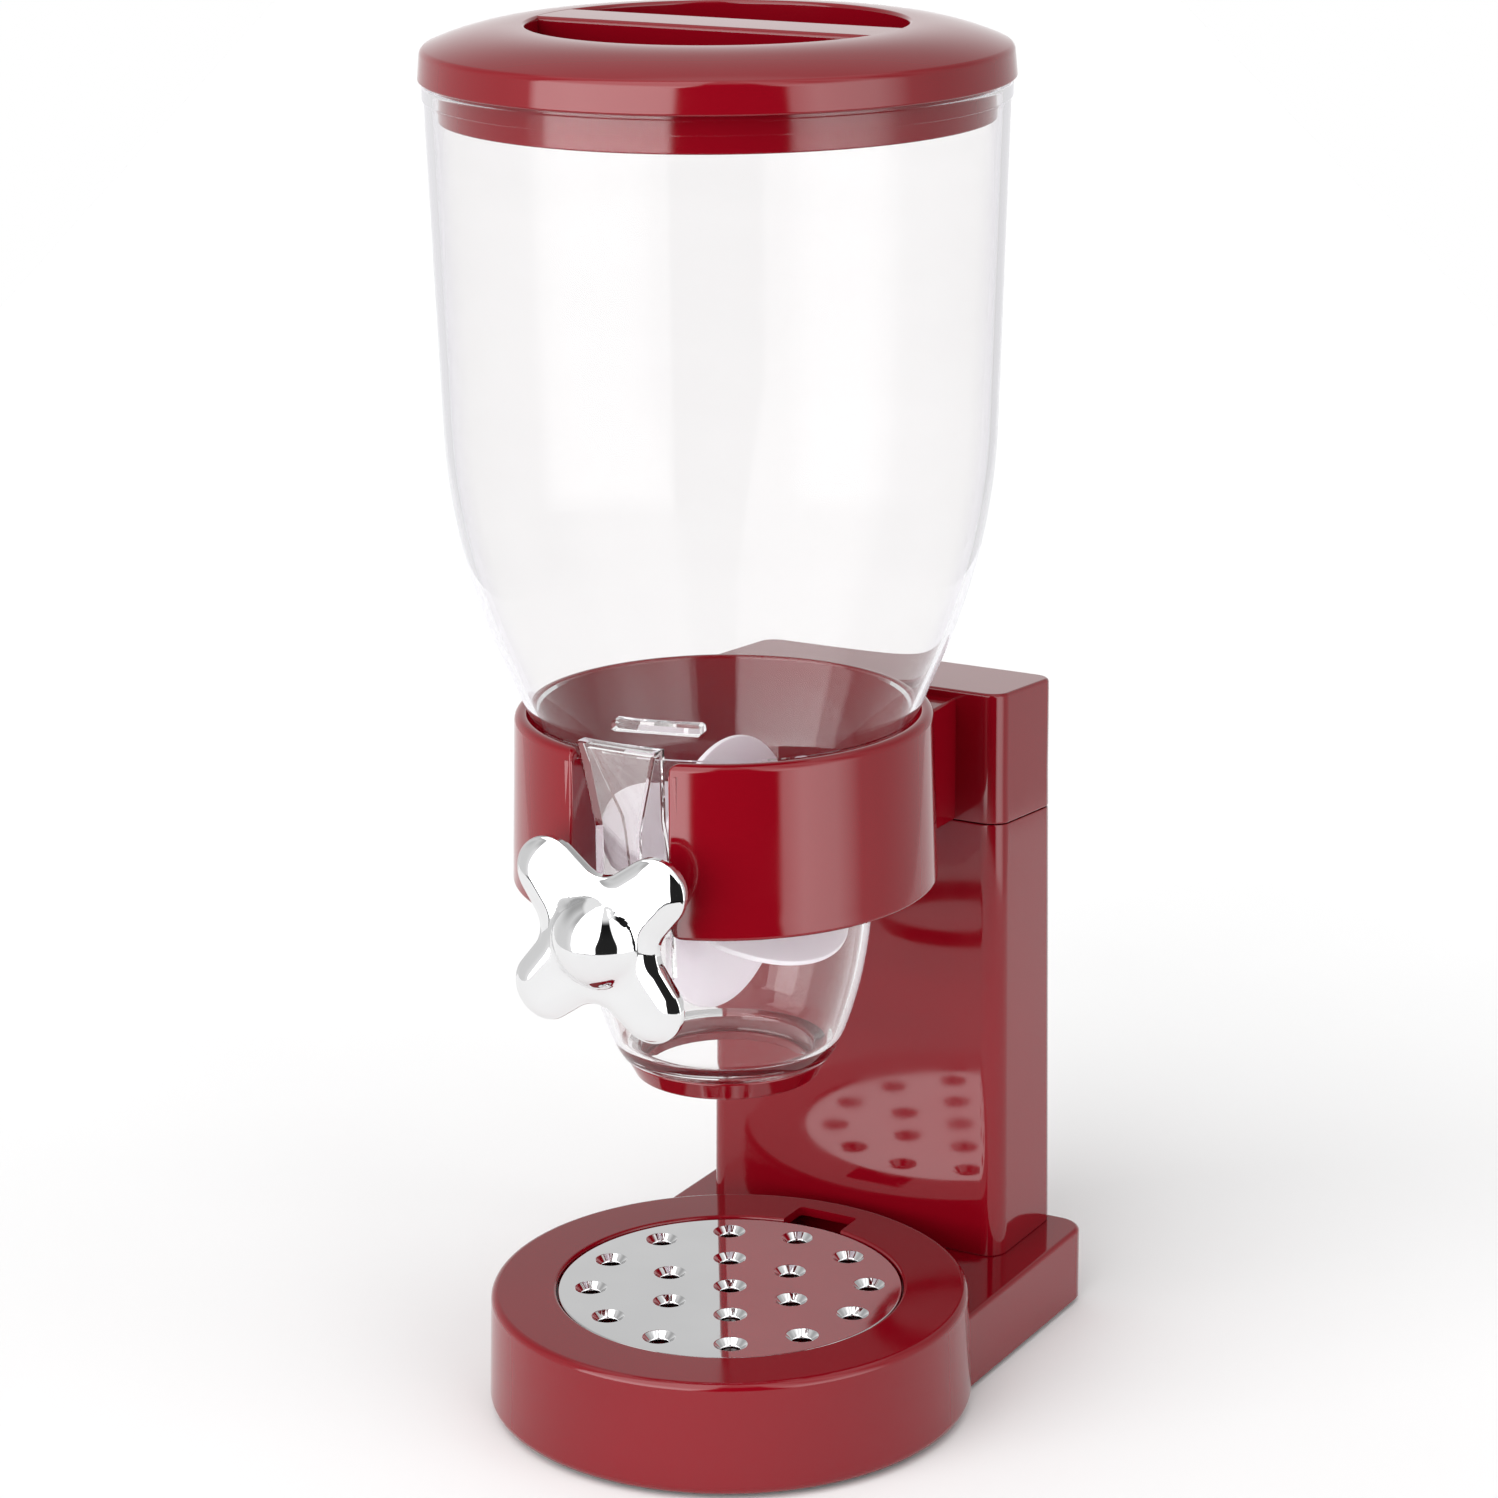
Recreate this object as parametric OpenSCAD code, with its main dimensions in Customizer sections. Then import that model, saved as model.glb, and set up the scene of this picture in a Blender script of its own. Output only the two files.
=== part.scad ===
// Gravity-fed dry food dispenser: a clear hopper in a C-shaped bracket over a drip tray.
// Front faces -Y. Lengths are in millimetres, heights start at the moulded shell's lower edge.

/* [Base] */
// Radius of the round base at its widest
base_r = 68.7; // [67:0.1:72]
// Height of the round base
base_h = 32.8; // [31:0.1:36]
// Radius the round base loses from bottom to top
base_draft = 0.9; // [0.3:0.1:1.5]
// Half the width of the rectangular foot behind the round base
foot_half_w = 60; // [56:0.5:64]
// Height of the rectangular foot
foot_h = 22.6; // [20:0.1:26]
// Distance from the hopper's axis to the back of the foot
back_reach = 111.5; // [110:0.1:120]
// Wall thickness of the red mouldings
shell_wall = 2.6; // [2:0.1:3]
// Height of the rubber feet that show under the shell
feet_h = 1.2; // [1:0.1:2]

/* [Drip tray] */
// Radius of the perforated tray
tray_r = 48.9; // [46:0.1:50]
// Thickness of the tray
tray_t = 2.6; // [2:0.1:3.5]
// Depth of the drip well under the tray
well_depth = 13; // [8:0.5:16]
// Radius of a drain hole at the tray's upper face
hole_top_r = 4.4; // [3.8:0.1:4.6]
// Radius of a drain hole below its countersink
hole_r = 2.8; // [2:0.1:3.2]
// Radius of the inner circle of drain holes
hole_ring_1 = 19.8; // [17:0.1:22]
// Radius of the outer circle of drain holes
hole_ring_2 = 39.5; // [37:0.1:41]

/* [Column] */
// Half the width of the column
column_half_w = 48.4; // [46:0.1:51]
// Distance from the hopper's axis to the column's front face
column_front = 73.4; // [72:0.1:75]
// Distance from the hopper's axis to the column's back face
column_back = 110.6; // [108:0.1:111]
// Corner radius of the column's plan
column_corner = 6; // [4:0.1:8]
// Height of the seam between column and bracket at the front
seam_z = 155.5; // [154:0.1:158]
// Height that the seam and the bracket's top lose towards the back
seam_drop = 3; // [0:0.1:4]

/* [Ring bracket] */
// Outer radius of the ring at its lower edge
ring_r_bottom = 58.6; // [58:0.1:59.5]
// Outer radius of the ring at its upper edge
ring_r_top = 57.3; // [57:0.1:57.8]
// Inner radius of the ring
ring_bore_r = 53.6; // [53.4:0.1:54]
// Height of the ring's upper edge
ring_top = 203.2; // [202.5:0.1:204]
// Half the width of the slot at the ring's front
slot_half_w = 14.7; // [14.2:0.1:16]
// Half the width of the arm between ring and column
arm_half_w = 33.5; // [28:0.5:36]
// Height of the arm's top
arm_top = 191.5; // [188:0.1:193]
// Height of the bracket's top over the column at the front
cap_top = 194; // [192:0.1:197]

/* [Hopper] */
// Outer radius of the hopper's wall just under its lip
hopper_r = 76.8; // [76:0.1:77]
// Height of the hopper's lip
hopper_lip_z = 369.5; // [366:0.5:370]
// Wall thickness of the clear moulding
clear_wall = 2.2; // [1.8:0.1:2.3]
// Radius of the shoulder curve that leads into the cone
shoulder_r = 175; // [172:1:180]
// Radius of the hopper where its cone meets the ring
seat_r = 53.2; // [53:0.1:53.3]
// Radius of the hopper at the top of the paddle chamber
neck_r = 45; // [44:0.1:46]
// Height of the top of the paddle chamber
neck_z = 184; // [182:0.5:186]
// Outer radius of the bowl at the paddle wheel's axis
bowl_r = 40.8; // [40.8:0.1:42]
// Height of the bowl's lower edge
bowl_bottom_z = 104.5; // [103:0.1:106]
// Outer radius of the bowl's lower edge
bowl_bottom_r = 30; // [29:0.1:31]
// Inner radius of the outlet
outlet_r = 22.5; // [20:0.1:23.5]

/* [Paddle wheel] */
// Height of the paddle wheel's axis
shaft_z = 156.3; // [155.5:0.1:157]
// Radius of a paddle's round edge
paddle_r = 37.9; // [36:0.1:38]
// Thickness of a paddle
paddle_t = 1.8; // [1.2:0.1:2.4]
// Radius of the hub
hub_r = 8; // [7.5:0.1:9]
// Radius of the shaft
shaft_r = 3; // [2.6:0.1:3.4]

/* [Knob] */
// Distance from the hopper's axis to the back of the knob
knob_back = 63.1; // [62.6:0.1:63.2]
// Thickness of the knob's lobes
knob_t = 6.9; // [6:0.1:7]
// Height of the dome over the lobes' front face
dome_h = 8.1; // [7:0.1:8.1]
// Radius of the dome's rim
dome_r = 12; // [11:0.1:13]
// Distance of each lobe's centre from the axis, along X and along Z
lobe_offset = 16.1; // [15.4:0.1:16.4]
// Radius of each lobe
lobe_r = 9.5; // [9:0.1:10]
// Radius of the knob between two lobes
waist_r = 17.9; // [17:0.1:18.5]
// Angle the knob is turned on its shaft, anticlockwise from the front
knob_turn = -2.5; // [-5:0.5:5]

/* [Lid] */
// Outer radius of the lid at its lower edge, the widest part of the object
lid_r = 78.3; // [78.2:0.1:79.5]
// Height of the lid's lower edge
lid_z = 374.5; // [374.3:0.1:375.2]
// Height of the lid's skirt
lid_skirt_h = 8.4; // [7:0.1:9]
// Height of the rim around the lid's grip recess
lid_top = 388.5; // [387:0.1:390]
// Radius of the grip recess
grip_r = 50; // [46:0.5:54]
// Depth of the grip recess
grip_depth = 13; // [8:0.5:15]
// Half the width of the grip bar across the recess
grip_half_w = 9.6; // [8:0.1:12]

/* [Hidden] */
$fn = 72;
gap = 0.3;
fit = 0.05;
over = 1;
mid_y = -(back_reach - lid_r) / 2;
shoulder_steps = 10;
bowl_steps = 8;

// Base
base_top_r = base_r - base_draft;
base_top_fillet = 2.2;
base_low_fillet = 3;
foot_corner = 8;
foot_front = 20;
tray_top = base_h - 0.7;
tray_seat = tray_top - tray_t - gap;
recess_r = tray_r + 0.5;
well_r = recess_r - 3;
well_floor = tray_seat - well_depth;
well_floor_t = 2.4;
notch_half_w = 9.5;
notch_back = 59.2;
notch_depth = 6;
pad_r = 6;
pad_post_r = 9;
pad_recess = 1.2;
pad_front = 40;
pad_back = 98;
pad_back_x = 49;

// Fasteners
screw_r = 1.6;
screw_head_r = 3.4;
screw_head_h = 2.2;
screw_l = 15;
boss_r = 5;
boss_x = 32;
column_boss_h = 40;
column_mid = (column_front + column_back) / 2;
shelf_t = 3;
shelf_z = seam_z - seam_drop - 3 - shelf_t;

// Ring bracket
ring_fillet = 2;
slot_corner = 4;
cheek_t = 2.4;
cheek_reach = 43;
cap_top_back = cap_top - seam_drop;
seam_back = seam_z - seam_drop;

// Hopper
shoulder_z = 283;
shoulder_top_r = 74.1;
draft_slope = (hopper_r - shoulder_top_r) / (hopper_lip_z - shoulder_z);
draft_angle = atan(draft_slope);
cone_angle = atan((seat_r - neck_r) / (ring_top - neck_z));
lip_r = hopper_r + 0.5;
lip_h = 4;
rim_r = hopper_r - 0.9;
rim_top = lid_z + 3.2;
shoulder_c = shoulder_top_r - shoulder_r * cos(draft_angle);
shoulder_cz = shoulder_z + shoulder_r * sin(draft_angle);
bowl_b = (shaft_z - bowl_bottom_z) / sqrt(1 - pow(bowl_bottom_r / bowl_r, 2));
bowl_curve_h = shaft_z - 9 - bowl_bottom_z;
spigot_r = outlet_r + 3.4;
spigot_h = 3.5;
outlet_h = 6;
outlet_top_r = 28.7;
outlet_low_r = 26;

// Front housing and bearings
housing_front = 56.6;
housing_top = 206.5;
housing_knee = 184;
housing_low = 138;
housing_half_top = 12;
housing_half_knee = 7;
sleeve_r = 6.6;
bush_r = 4.6;
flange_r = 6;
flange_t = 1.2;
rear_end = 48;
rear_root = bowl_r - clear_wall * 0.7;
lug_half_w = 12;
lug_z = 212.2;
lug_h = 3.2;
lug_reach = 7.5;
lug_turn = 13;

// Paddle wheel
paddle_root = 4.6;
paddle_relief_r = 9.6;
paddle_half = 33;
hub_half = 30.5;
clip_y = 32.4;
clip_t = 0.8;
clip_r = 5;
groove_r = shaft_r - 0.6;
flat_depth = 0.7;
shaft_rear = 45.4;
washer_r = 7;
washer_t = 1;
knob_wall = 2;
knob_boss_r = 5.4;
shaft_front = knob_back + 11;
dome_sphere_r = (dome_r * dome_r + dome_h * dome_h) / (2 * dome_h);

// Lid
lid_t = 2.2;
lid_edge = 1.4;
plug_r = hopper_r - clear_wall - 1.5;
plug_t = 2;
plug_drop = 10;
dome_rim_r = lid_r - 2.6;
seal_t = 1.2;
lid_seat = rim_top + gap + seal_t + fit;

// Moves a piece from the hopper's axis and the shell's edge into the object's frame.
module place() {
  translate([0, mid_y, feet_h]) children();
}

// Turns a piece drawn along +Z to point forward from the shaft's axis.
module on_shaft() {
  translate([0, 0, shaft_z]) rotate([90, 0, 0]) children();
}

module ring_of(r, count) {
  for (i = [0 : count - 1]) {
    rotate([0, 0, i * 360 / count]) translate([r, 0, 0]) children();
  }
}

module pair_x(x) {
  translate([x, 0, 0]) children();
  translate([-x, 0, 0]) children();
}

module tube(r_out, r_in, h) {
  difference() {
    cylinder(r = r_out, h = h);
    translate([0, 0, -over]) cylinder(r = r_in, h = h + 2 * over);
  }
}

module round_rect(half_w, y0, y1, r) {
  translate([-half_w + r, y0]) square([2 * (half_w - r), y1 - y0]);
  translate([-half_w, y0 + r]) square([2 * half_w, y1 - y0 - 2 * r]);
  for (x = [-half_w + r, half_w - r], y = [y0 + r, y1 - r]) {
    translate([x, y]) circle(r);
  }
}

// Side profile drawn in Y and Z, swept across X.
module side_prism(half_w, points) {
  rotate([90, 0, 90]) translate([0, 0, -half_w]) linear_extrude(2 * half_w) polygon(points);
}

// Front profile drawn in X and Z, swept from y0 back to y1.
module front_prism(y0, y1, points) {
  translate([0, y1, 0]) rotate([90, 0, 0]) linear_extrude(y1 - y0) polygon(points);
}

// ---- Base ----

module disc_profile() {
  polygon([
    [0, 0],
    [base_r - base_low_fillet, 0],
    [base_r, base_low_fillet],
    [base_top_r, base_h - base_top_fillet],
    [base_top_r - base_top_fillet, base_h],
    [0, base_h]
  ]);
  translate([base_r - base_low_fillet, base_low_fillet]) circle(base_low_fillet);
  translate([base_top_r - base_top_fillet, base_h - base_top_fillet]) circle(base_top_fillet);
}

module disc_hollow() {
  rotate_extrude() polygon([
    [0, -over],
    [base_r - shell_wall, -over],
    [base_top_r - shell_wall, base_h - shell_wall],
    [0, base_h - shell_wall]
  ]);
}

module foot_plan(inset) {
  round_rect(foot_half_w - inset, foot_front + inset, back_reach - inset, foot_corner - inset);
}

module base_skin() {
  difference() {
    union() {
      rotate_extrude() disc_profile();
      linear_extrude(foot_h) foot_plan(0);
    }
    disc_hollow();
    translate([0, 0, -over]) linear_extrude(foot_h - shell_wall + over) foot_plan(shell_wall);
  }
}

module well_cup() {
  translate([0, 0, well_floor - well_floor_t])
    cylinder(r = recess_r + 2, h = base_h - well_floor + well_floor_t - shell_wall / 2);
  translate([-notch_half_w - 2, 0, base_h - notch_depth - well_floor_t])
    cube([2 * notch_half_w + 4, notch_back + 2, notch_depth + well_floor_t - shell_wall / 2]);
}

module pad_spots() {
  for (x = [-pad_front, pad_front]) {
    translate([x, -pad_front, 0]) children();
  }
  for (x = [-pad_back_x, pad_back_x]) {
    translate([x, pad_back, 0]) children();
  }
}

module column_screw_spots() {
  pair_x(boss_x) translate([0, column_mid, 0]) children();
}

module base() {
  color([0.56, 0.02, 0.08]) place() difference() {
    union() {
      base_skin();
      well_cup();
      pad_spots() cylinder(r = pad_post_r - 1.5, h = foot_h - shell_wall / 2);
    }
    translate([0, 0, tray_seat]) cylinder(r = recess_r, h = base_h);
    translate([0, 0, well_floor]) cylinder(r = well_r, h = base_h);
    translate([-notch_half_w, 0, base_h - notch_depth])
      cube([2 * notch_half_w, notch_back, base_h]);
    translate([0, 0, -over]) pad_spots() cylinder(r = pad_r + fit, h = pad_recess + over);
    column_screw_spots() cylinder(r = screw_r + gap, h = base_h);
  }
}

module base_feet() {
  color([0.12, 0.12, 0.12]) place() translate([0, 0, -feet_h])
    pad_spots() cylinder(r = pad_r, h = feet_h + pad_recess - fit);
}

// ---- Column ----

module column_plan(inset) {
  round_rect(column_half_w - inset, column_front + inset, column_back - inset, column_corner - inset);
}

module column() {
  color([0.56, 0.02, 0.08]) place() difference() {
    union() {
      difference() {
        intersection() {
          translate([0, 0, foot_h + fit]) linear_extrude(cap_top) column_plan(0);
          side_prism(column_half_w + over, [
            [column_front, 0],
            [column_back, 0],
            [column_back, seam_back - fit],
            [column_front, seam_z - fit]
          ]);
        }
        translate([0, 0, foot_h - over]) linear_extrude(cap_top) column_plan(shell_wall);
      }
      translate([0, 0, shelf_z]) linear_extrude(shelf_t) column_plan(shell_wall / 2);
      column_screw_spots() translate([0, 0, foot_h + fit]) cylinder(r = boss_r, h = column_boss_h);
      pair_x(boss_x) translate([-1, column_front + 1, foot_h + fit])
        cube([2, column_back - column_front - 2, column_boss_h]);
    }
    column_screw_spots() translate([0, 0, foot_h]) cylinder(r = screw_r + fit, h = screw_l);
    pair_x(boss_x / 2) translate([0, column_mid, shelf_z - over])
      cylinder(r = screw_r + gap, h = shelf_t + 2 * over);
  }
}

module screw_up() {
  cylinder(r = screw_head_r, h = screw_head_h);
  cylinder(r = screw_r, h = screw_l);
}

module column_screws() {
  color([0.75, 0.75, 0.77]) place() column_screw_spots()
    translate([0, 0, foot_h - shell_wall - screw_head_h - fit]) screw_up();
}

module bracket_screws() {
  color([0.75, 0.75, 0.77]) place() pair_x(boss_x / 2)
    translate([0, column_mid, shelf_z - screw_head_h - fit]) screw_up();
}

// ---- Ring bracket ----

module ring_profile() {
  polygon([
    [ring_bore_r, seam_z],
    [ring_r_bottom, seam_z],
    [ring_r_top, ring_top - ring_fillet],
    [ring_r_top - ring_fillet, ring_top],
    [ring_bore_r, ring_top]
  ]);
  translate([ring_r_top - ring_fillet, ring_top - ring_fillet]) circle(ring_fillet - 0.01);
}

module corner_cut(x, r, side) {
  difference() {
    translate([side > 0 ? x - over : x - r, 0]) square([r + over, r]);
    translate([x + side * r, r]) circle(r);
  }
}

// The slot seen from the front, with its free lower corners rounded.
module slot_shape() {
  translate([-slot_half_w, -over]) square([2 * slot_half_w, ring_top]);
  corner_cut(slot_half_w, slot_corner, 1);
  corner_cut(-slot_half_w, slot_corner, -1);
}

module slot_cutter() {
  translate([0, 0, seam_z]) rotate([90, 0, 0]) linear_extrude(ring_r_bottom + over) slot_shape();
}

module cheeks() {
  pair_x(slot_half_w + cheek_t / 2)
    translate([-cheek_t / 2, -ring_bore_r - 1, seam_z + slot_corner])
      cube([cheek_t, ring_bore_r + 1 - cheek_reach, ring_top - seam_z - slot_corner - 3]);
}

module arm_solid(inset, low) {
  translate([-arm_half_w + inset, 0, low])
    cube([2 * (arm_half_w - inset), column_front + 2 * shell_wall, arm_top - inset - low]);
}

module cap_solid(inset, low) {
  intersection() {
    translate([0, 0, low]) linear_extrude(cap_top) column_plan(inset);
    side_prism(column_half_w + over, [
      [column_front, low < seam_back ? low : seam_z],
      [column_back, low < seam_back ? low : seam_back],
      [column_back, cap_top_back - inset],
      [column_front, cap_top - inset]
    ]);
  }
}

module ring_bracket() {
  color([0.56, 0.02, 0.08]) place() {
    difference() {
      union() {
        difference() {
          union() {
            arm_solid(0, seam_z);
            cap_solid(0, seam_back);
          }
          arm_solid(shell_wall, seam_z - over);
          cap_solid(shell_wall, seam_back - 2 * over);
        }
        rotate_extrude() ring_profile();
        pair_x(boss_x / 2) translate([0, column_mid, shelf_z + shelf_t + fit])
          cylinder(r = boss_r, h = cap_top_back - shelf_z - shelf_t - fit);
      }
      translate([0, 0, seam_z - over]) cylinder(r = ring_bore_r, h = ring_top);
      slot_cutter();
      pair_x(boss_x / 2) translate([0, column_mid, shelf_z]) cylinder(r = screw_r + fit, h = screw_l);
    }
    intersection() {
      difference() {
        cheeks();
        rotate_extrude() hopper_solid(gap + 0.1);
      }
      cylinder(r = ring_bore_r + 0.8, h = ring_top);
    }
  }
}

// ---- Drip tray ----

module drain_hole() {
  translate([0, 0, -over]) cylinder(r = hole_r, h = tray_t + 2 * over);
  translate([0, 0, tray_t - (hole_top_r - hole_r)])
    cylinder(r1 = hole_r, r2 = hole_top_r + over, h = hole_top_r - hole_r + over);
}

module drip_tray() {
  color([0.85, 0.85, 0.87]) place() translate([0, 0, tray_top - tray_t]) difference() {
    rotate_extrude() {
      square([tray_r - 0.6, tray_t]);
      square([tray_r, tray_t - 0.6]);
      translate([tray_r - 0.6, tray_t - 0.6]) circle(0.6);
    }
    drain_hole();
    ring_of(hole_ring_1, 6) drain_hole();
    ring_of(hole_ring_2, 12) drain_hole();
  }
}

// ---- Canister ----

function shoulder_point(i) =
  let(a = cone_angle + (draft_angle - cone_angle) * i / shoulder_steps)
  [shoulder_c + shoulder_r * cos(a), shoulder_cz - shoulder_r * sin(a)];

function bowl_z(i) = bowl_bottom_z + bowl_curve_h * i / bowl_steps;

function bowl_point(i) = [bowl_r * sqrt(1 - pow((shaft_z - bowl_z(i)) / bowl_b, 2)), bowl_z(i)];

wall_points = concat(
  [for (i = [0 : bowl_steps]) bowl_point(i)],
  [[bowl_r + 0.5, shaft_z + 12], [neck_r, neck_z], [seat_r, ring_top]],
  [for (i = [0 : shoulder_steps]) shoulder_point(i)],
  [[hopper_r, hopper_lip_z]]
);

// Half of the hopper's outline grown by an amount, closed on the axis.
module hopper_solid(grow) {
  polygon(concat(
    [[0, bowl_bottom_z]],
    [for (p = wall_points) [p[0] + grow, p[1]]],
    [[0, hopper_lip_z]]
  ));
}

// Half section of the clear moulding: up its outer face, over the rim and down its inner face.
module hopper_wall() {
  polygon(concat(
    wall_points,
    [
      [lip_r, hopper_lip_z + 1],
      [lip_r, hopper_lip_z + lip_h],
      [rim_r, hopper_lip_z + lip_h],
      [rim_r, rim_top],
      [hopper_r - clear_wall, rim_top]
    ],
    [for (i = [len(wall_points) - 1 : -1 : 1]) [wall_points[i][0] - clear_wall, wall_points[i][1]]],
    [
      [wall_points[1][0] - clear_wall, bowl_bottom_z + clear_wall + 2],
      [spigot_r - clear_wall + 1, bowl_bottom_z + clear_wall],
      [spigot_r - clear_wall + 0.4, bowl_bottom_z - spigot_h],
      [spigot_r, bowl_bottom_z - spigot_h],
      [spigot_r, bowl_bottom_z]
    ]
  ));
}

// The clear housing in the ring's slot, seen from the front.
housing_points = [
  [-sleeve_r, housing_low],
  [sleeve_r, housing_low],
  [housing_half_knee, shaft_z],
  [housing_half_knee, housing_knee],
  [housing_half_top, housing_top],
  [-housing_half_top, housing_top],
  [-housing_half_knee, housing_knee],
  [-housing_half_knee, shaft_z]
];

housing_inner = [
  [-sleeve_r + 2, housing_low - over],
  [sleeve_r - 2, housing_low - over],
  [housing_half_knee - 2, shaft_z],
  [housing_half_knee - 2, housing_knee],
  [housing_half_top - 2.6, housing_top - 2],
  [-housing_half_top + 2.6, housing_top - 2],
  [-housing_half_knee + 2, housing_knee],
  [-housing_half_knee + 2, shaft_z]
];

module housing_shell() {
  difference() {
    front_prism(-housing_front, -neck_r / 2, housing_points);
    front_prism(-housing_front + 2, 0, housing_inner);
  }
  on_shaft() translate([0, 0, neck_r / 2]) cylinder(r = sleeve_r, h = housing_front - neck_r / 2 - 1);
}

// Cuts a piece back to the middle of the hopper's wall, so that it joins the wall from outside.
module outside_hopper() {
  difference() {
    children();
    rotate_extrude() hopper_solid(-clear_wall / 2);
  }
}

module canister() {
  color([0.9, 0.92, 0.95, 0.35]) place() difference() {
    union() {
      rotate_extrude() hopper_wall();
      outside_hopper() housing_shell();
      on_shaft() translate([0, 0, -rear_end]) cylinder(r = sleeve_r, h = rear_end - rear_root);
      outside_hopper() rotate([0, 0, lug_turn]) translate([-lug_half_w, -seat_r - lug_reach, lug_z])
        cube([2 * lug_half_w, lug_reach + 8, lug_h]);
    }
    on_shaft() cylinder(r = bush_r, h = housing_front + over);
    on_shaft() translate([0, 0, -rear_end + 2]) cylinder(r = bush_r, h = rear_end);
  }
}

module outlet_ring() {
  color([0.56, 0.02, 0.08]) place() rotate_extrude() polygon([
    [outlet_r, bowl_bottom_z - outlet_h],
    [outlet_low_r - 1, bowl_bottom_z - outlet_h],
    [outlet_low_r, bowl_bottom_z - outlet_h + 1],
    [outlet_top_r, bowl_bottom_z - fit],
    [spigot_r + fit, bowl_bottom_z - fit],
    [spigot_r + fit, bowl_bottom_z - spigot_h - fit],
    [outlet_r, bowl_bottom_z - spigot_h - fit]
  ]);
}

module front_bearing() {
  color([0.92, 0.92, 0.9]) place() on_shaft() difference() {
    union() {
      translate([0, 0, bowl_r - clear_wall + 1])
        cylinder(r = bush_r - fit, h = housing_front - bowl_r + clear_wall);
      translate([0, 0, housing_front + fit]) cylinder(r = flange_r, h = flange_t);
    }
    cylinder(r = shaft_r + fit, h = knob_back);
  }
}

module rear_bearing() {
  color([0.92, 0.92, 0.9]) place() on_shaft() translate([0, 0, -rear_end + 2 + fit]) difference() {
    cylinder(r = bush_r - fit, h = rear_end - bowl_r);
    translate([0, 0, -over]) cylinder(r = shaft_r + fit, h = rear_end);
  }
}

// ---- Paddle wheel ----

module shaft() {
  color([0.8, 0.8, 0.82]) place() on_shaft() difference() {
    translate([0, 0, -shaft_rear]) cylinder(r = shaft_r, h = shaft_rear + shaft_front);
    translate([0, 0, clip_y - fit]) tube(shaft_r + over, groove_r, clip_t + 2 * fit);
    translate([-shaft_r, shaft_r - flat_depth, -hub_half])
      cube([2 * shaft_r, shaft_r, 2 * hub_half]);
    translate([-shaft_r, shaft_r - flat_depth, knob_back + 1])
      cube([2 * shaft_r, shaft_r, shaft_front]);
  }
}

// Cross-section of a hole for the flatted shaft.
module drive_hole(h) {
  difference() {
    cylinder(r = shaft_r + fit, h = h);
    translate([-shaft_r - over, shaft_r - flat_depth + fit, -over])
      cube([2 * (shaft_r + over), shaft_r, h + 2 * over]);
  }
}

module shaft_clip() {
  color([0.7, 0.7, 0.72]) place() on_shaft() translate([0, 0, clip_y]) difference() {
    tube(clip_r, groove_r + fit, clip_t);
    translate([-groove_r + 0.4, 0, -over]) cube([2 * groove_r - 0.8, clip_r + over, clip_t + 2 * over]);
  }
}

module paddle_blank(t) {
  translate([0, t / 2, 0]) rotate([90, 0, 0]) linear_extrude(t) difference() {
    intersection() {
      circle(paddle_r);
      translate([paddle_root, -paddle_r]) square([paddle_r, 2 * paddle_r]);
    }
    translate([0, paddle_half]) square([paddle_relief_r, paddle_r]);
    translate([0, -paddle_half - paddle_r]) square([paddle_relief_r, paddle_r]);
    translate([0, hub_half + fit]) square([hub_r, paddle_r]);
    translate([0, -hub_half - fit - paddle_r]) square([hub_r, paddle_r]);
  }
}

// Paddle i stands at its own sixth of a turn, with paddle 1 straight up.
module paddle(i) {
  color([0.86, 0.84, 0.88]) place() on_shaft() rotate([0, 0, 90 + 60 * (i - 1)]) paddle_blank(paddle_t);
}

module rotor_hub() {
  color([0.86, 0.84, 0.88]) place() on_shaft() difference() {
    translate([0, 0, -hub_half]) cylinder(r = hub_r, h = 2 * hub_half);
    translate([0, 0, -hub_half - over]) drive_hole(2 * (hub_half + over));
    for (i = [0 : 5]) {
      rotate([0, 0, 90 + 60 * i]) translate([paddle_root - fit, -paddle_t / 2 - fit, -hub_half - over])
        cube([hub_r, paddle_t + 2 * fit, 2 * (hub_half + over)]);
    }
  }
}

module paddle_1() {
  paddle(1);
}

module paddle_2() {
  paddle(2);
}

module paddle_3() {
  paddle(3);
}

module paddle_4() {
  paddle(4);
}

module paddle_5() {
  paddle(5);
}

module paddle_6() {
  paddle(6);
}

// ---- Knob ----

module knob_plan(inset) {
  circle(waist_r - inset);
  for (a = [knob_turn + 45 : 90 : knob_turn + 315]) {
    rotate([0, 0, a]) translate([lobe_offset * sqrt(2), 0]) circle(lobe_r - inset);
    rotate([0, 0, a]) translate([0, -lobe_r + inset]) square([lobe_offset * sqrt(2), 2 * (lobe_r - inset)]);
  }
}

module knob() {
  color([0.85, 0.85, 0.87]) place() on_shaft() difference() {
    union() {
      difference() {
        union() {
          translate([0, 0, knob_back]) linear_extrude(knob_t) knob_plan(0);
          intersection() {
            translate([0, 0, knob_back + knob_t + dome_h - dome_sphere_r]) sphere(dome_sphere_r);
            translate([0, 0, knob_back + knob_t - over]) cylinder(r = dome_r + over, h = 2 * dome_h);
          }
        }
        translate([0, 0, knob_back - over]) linear_extrude(knob_t - knob_wall + over) knob_plan(knob_wall);
        translate([0, 0, knob_back]) cylinder(r = dome_r - 3, h = knob_t + 2);
      }
      translate([0, 0, knob_back + 0.5]) cylinder(r = knob_boss_r, h = knob_t + 3);
    }
    translate([0, 0, knob_back - over]) drive_hole(shaft_front - knob_back + over + gap);
  }
}

module knob_washer() {
  color([0.7, 0.7, 0.72]) place() on_shaft() translate([0, 0, housing_front + flange_t + 2 * fit + 0.4])
    tube(washer_r, shaft_r + fit, washer_t);
}

// ---- Lid ----

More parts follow.
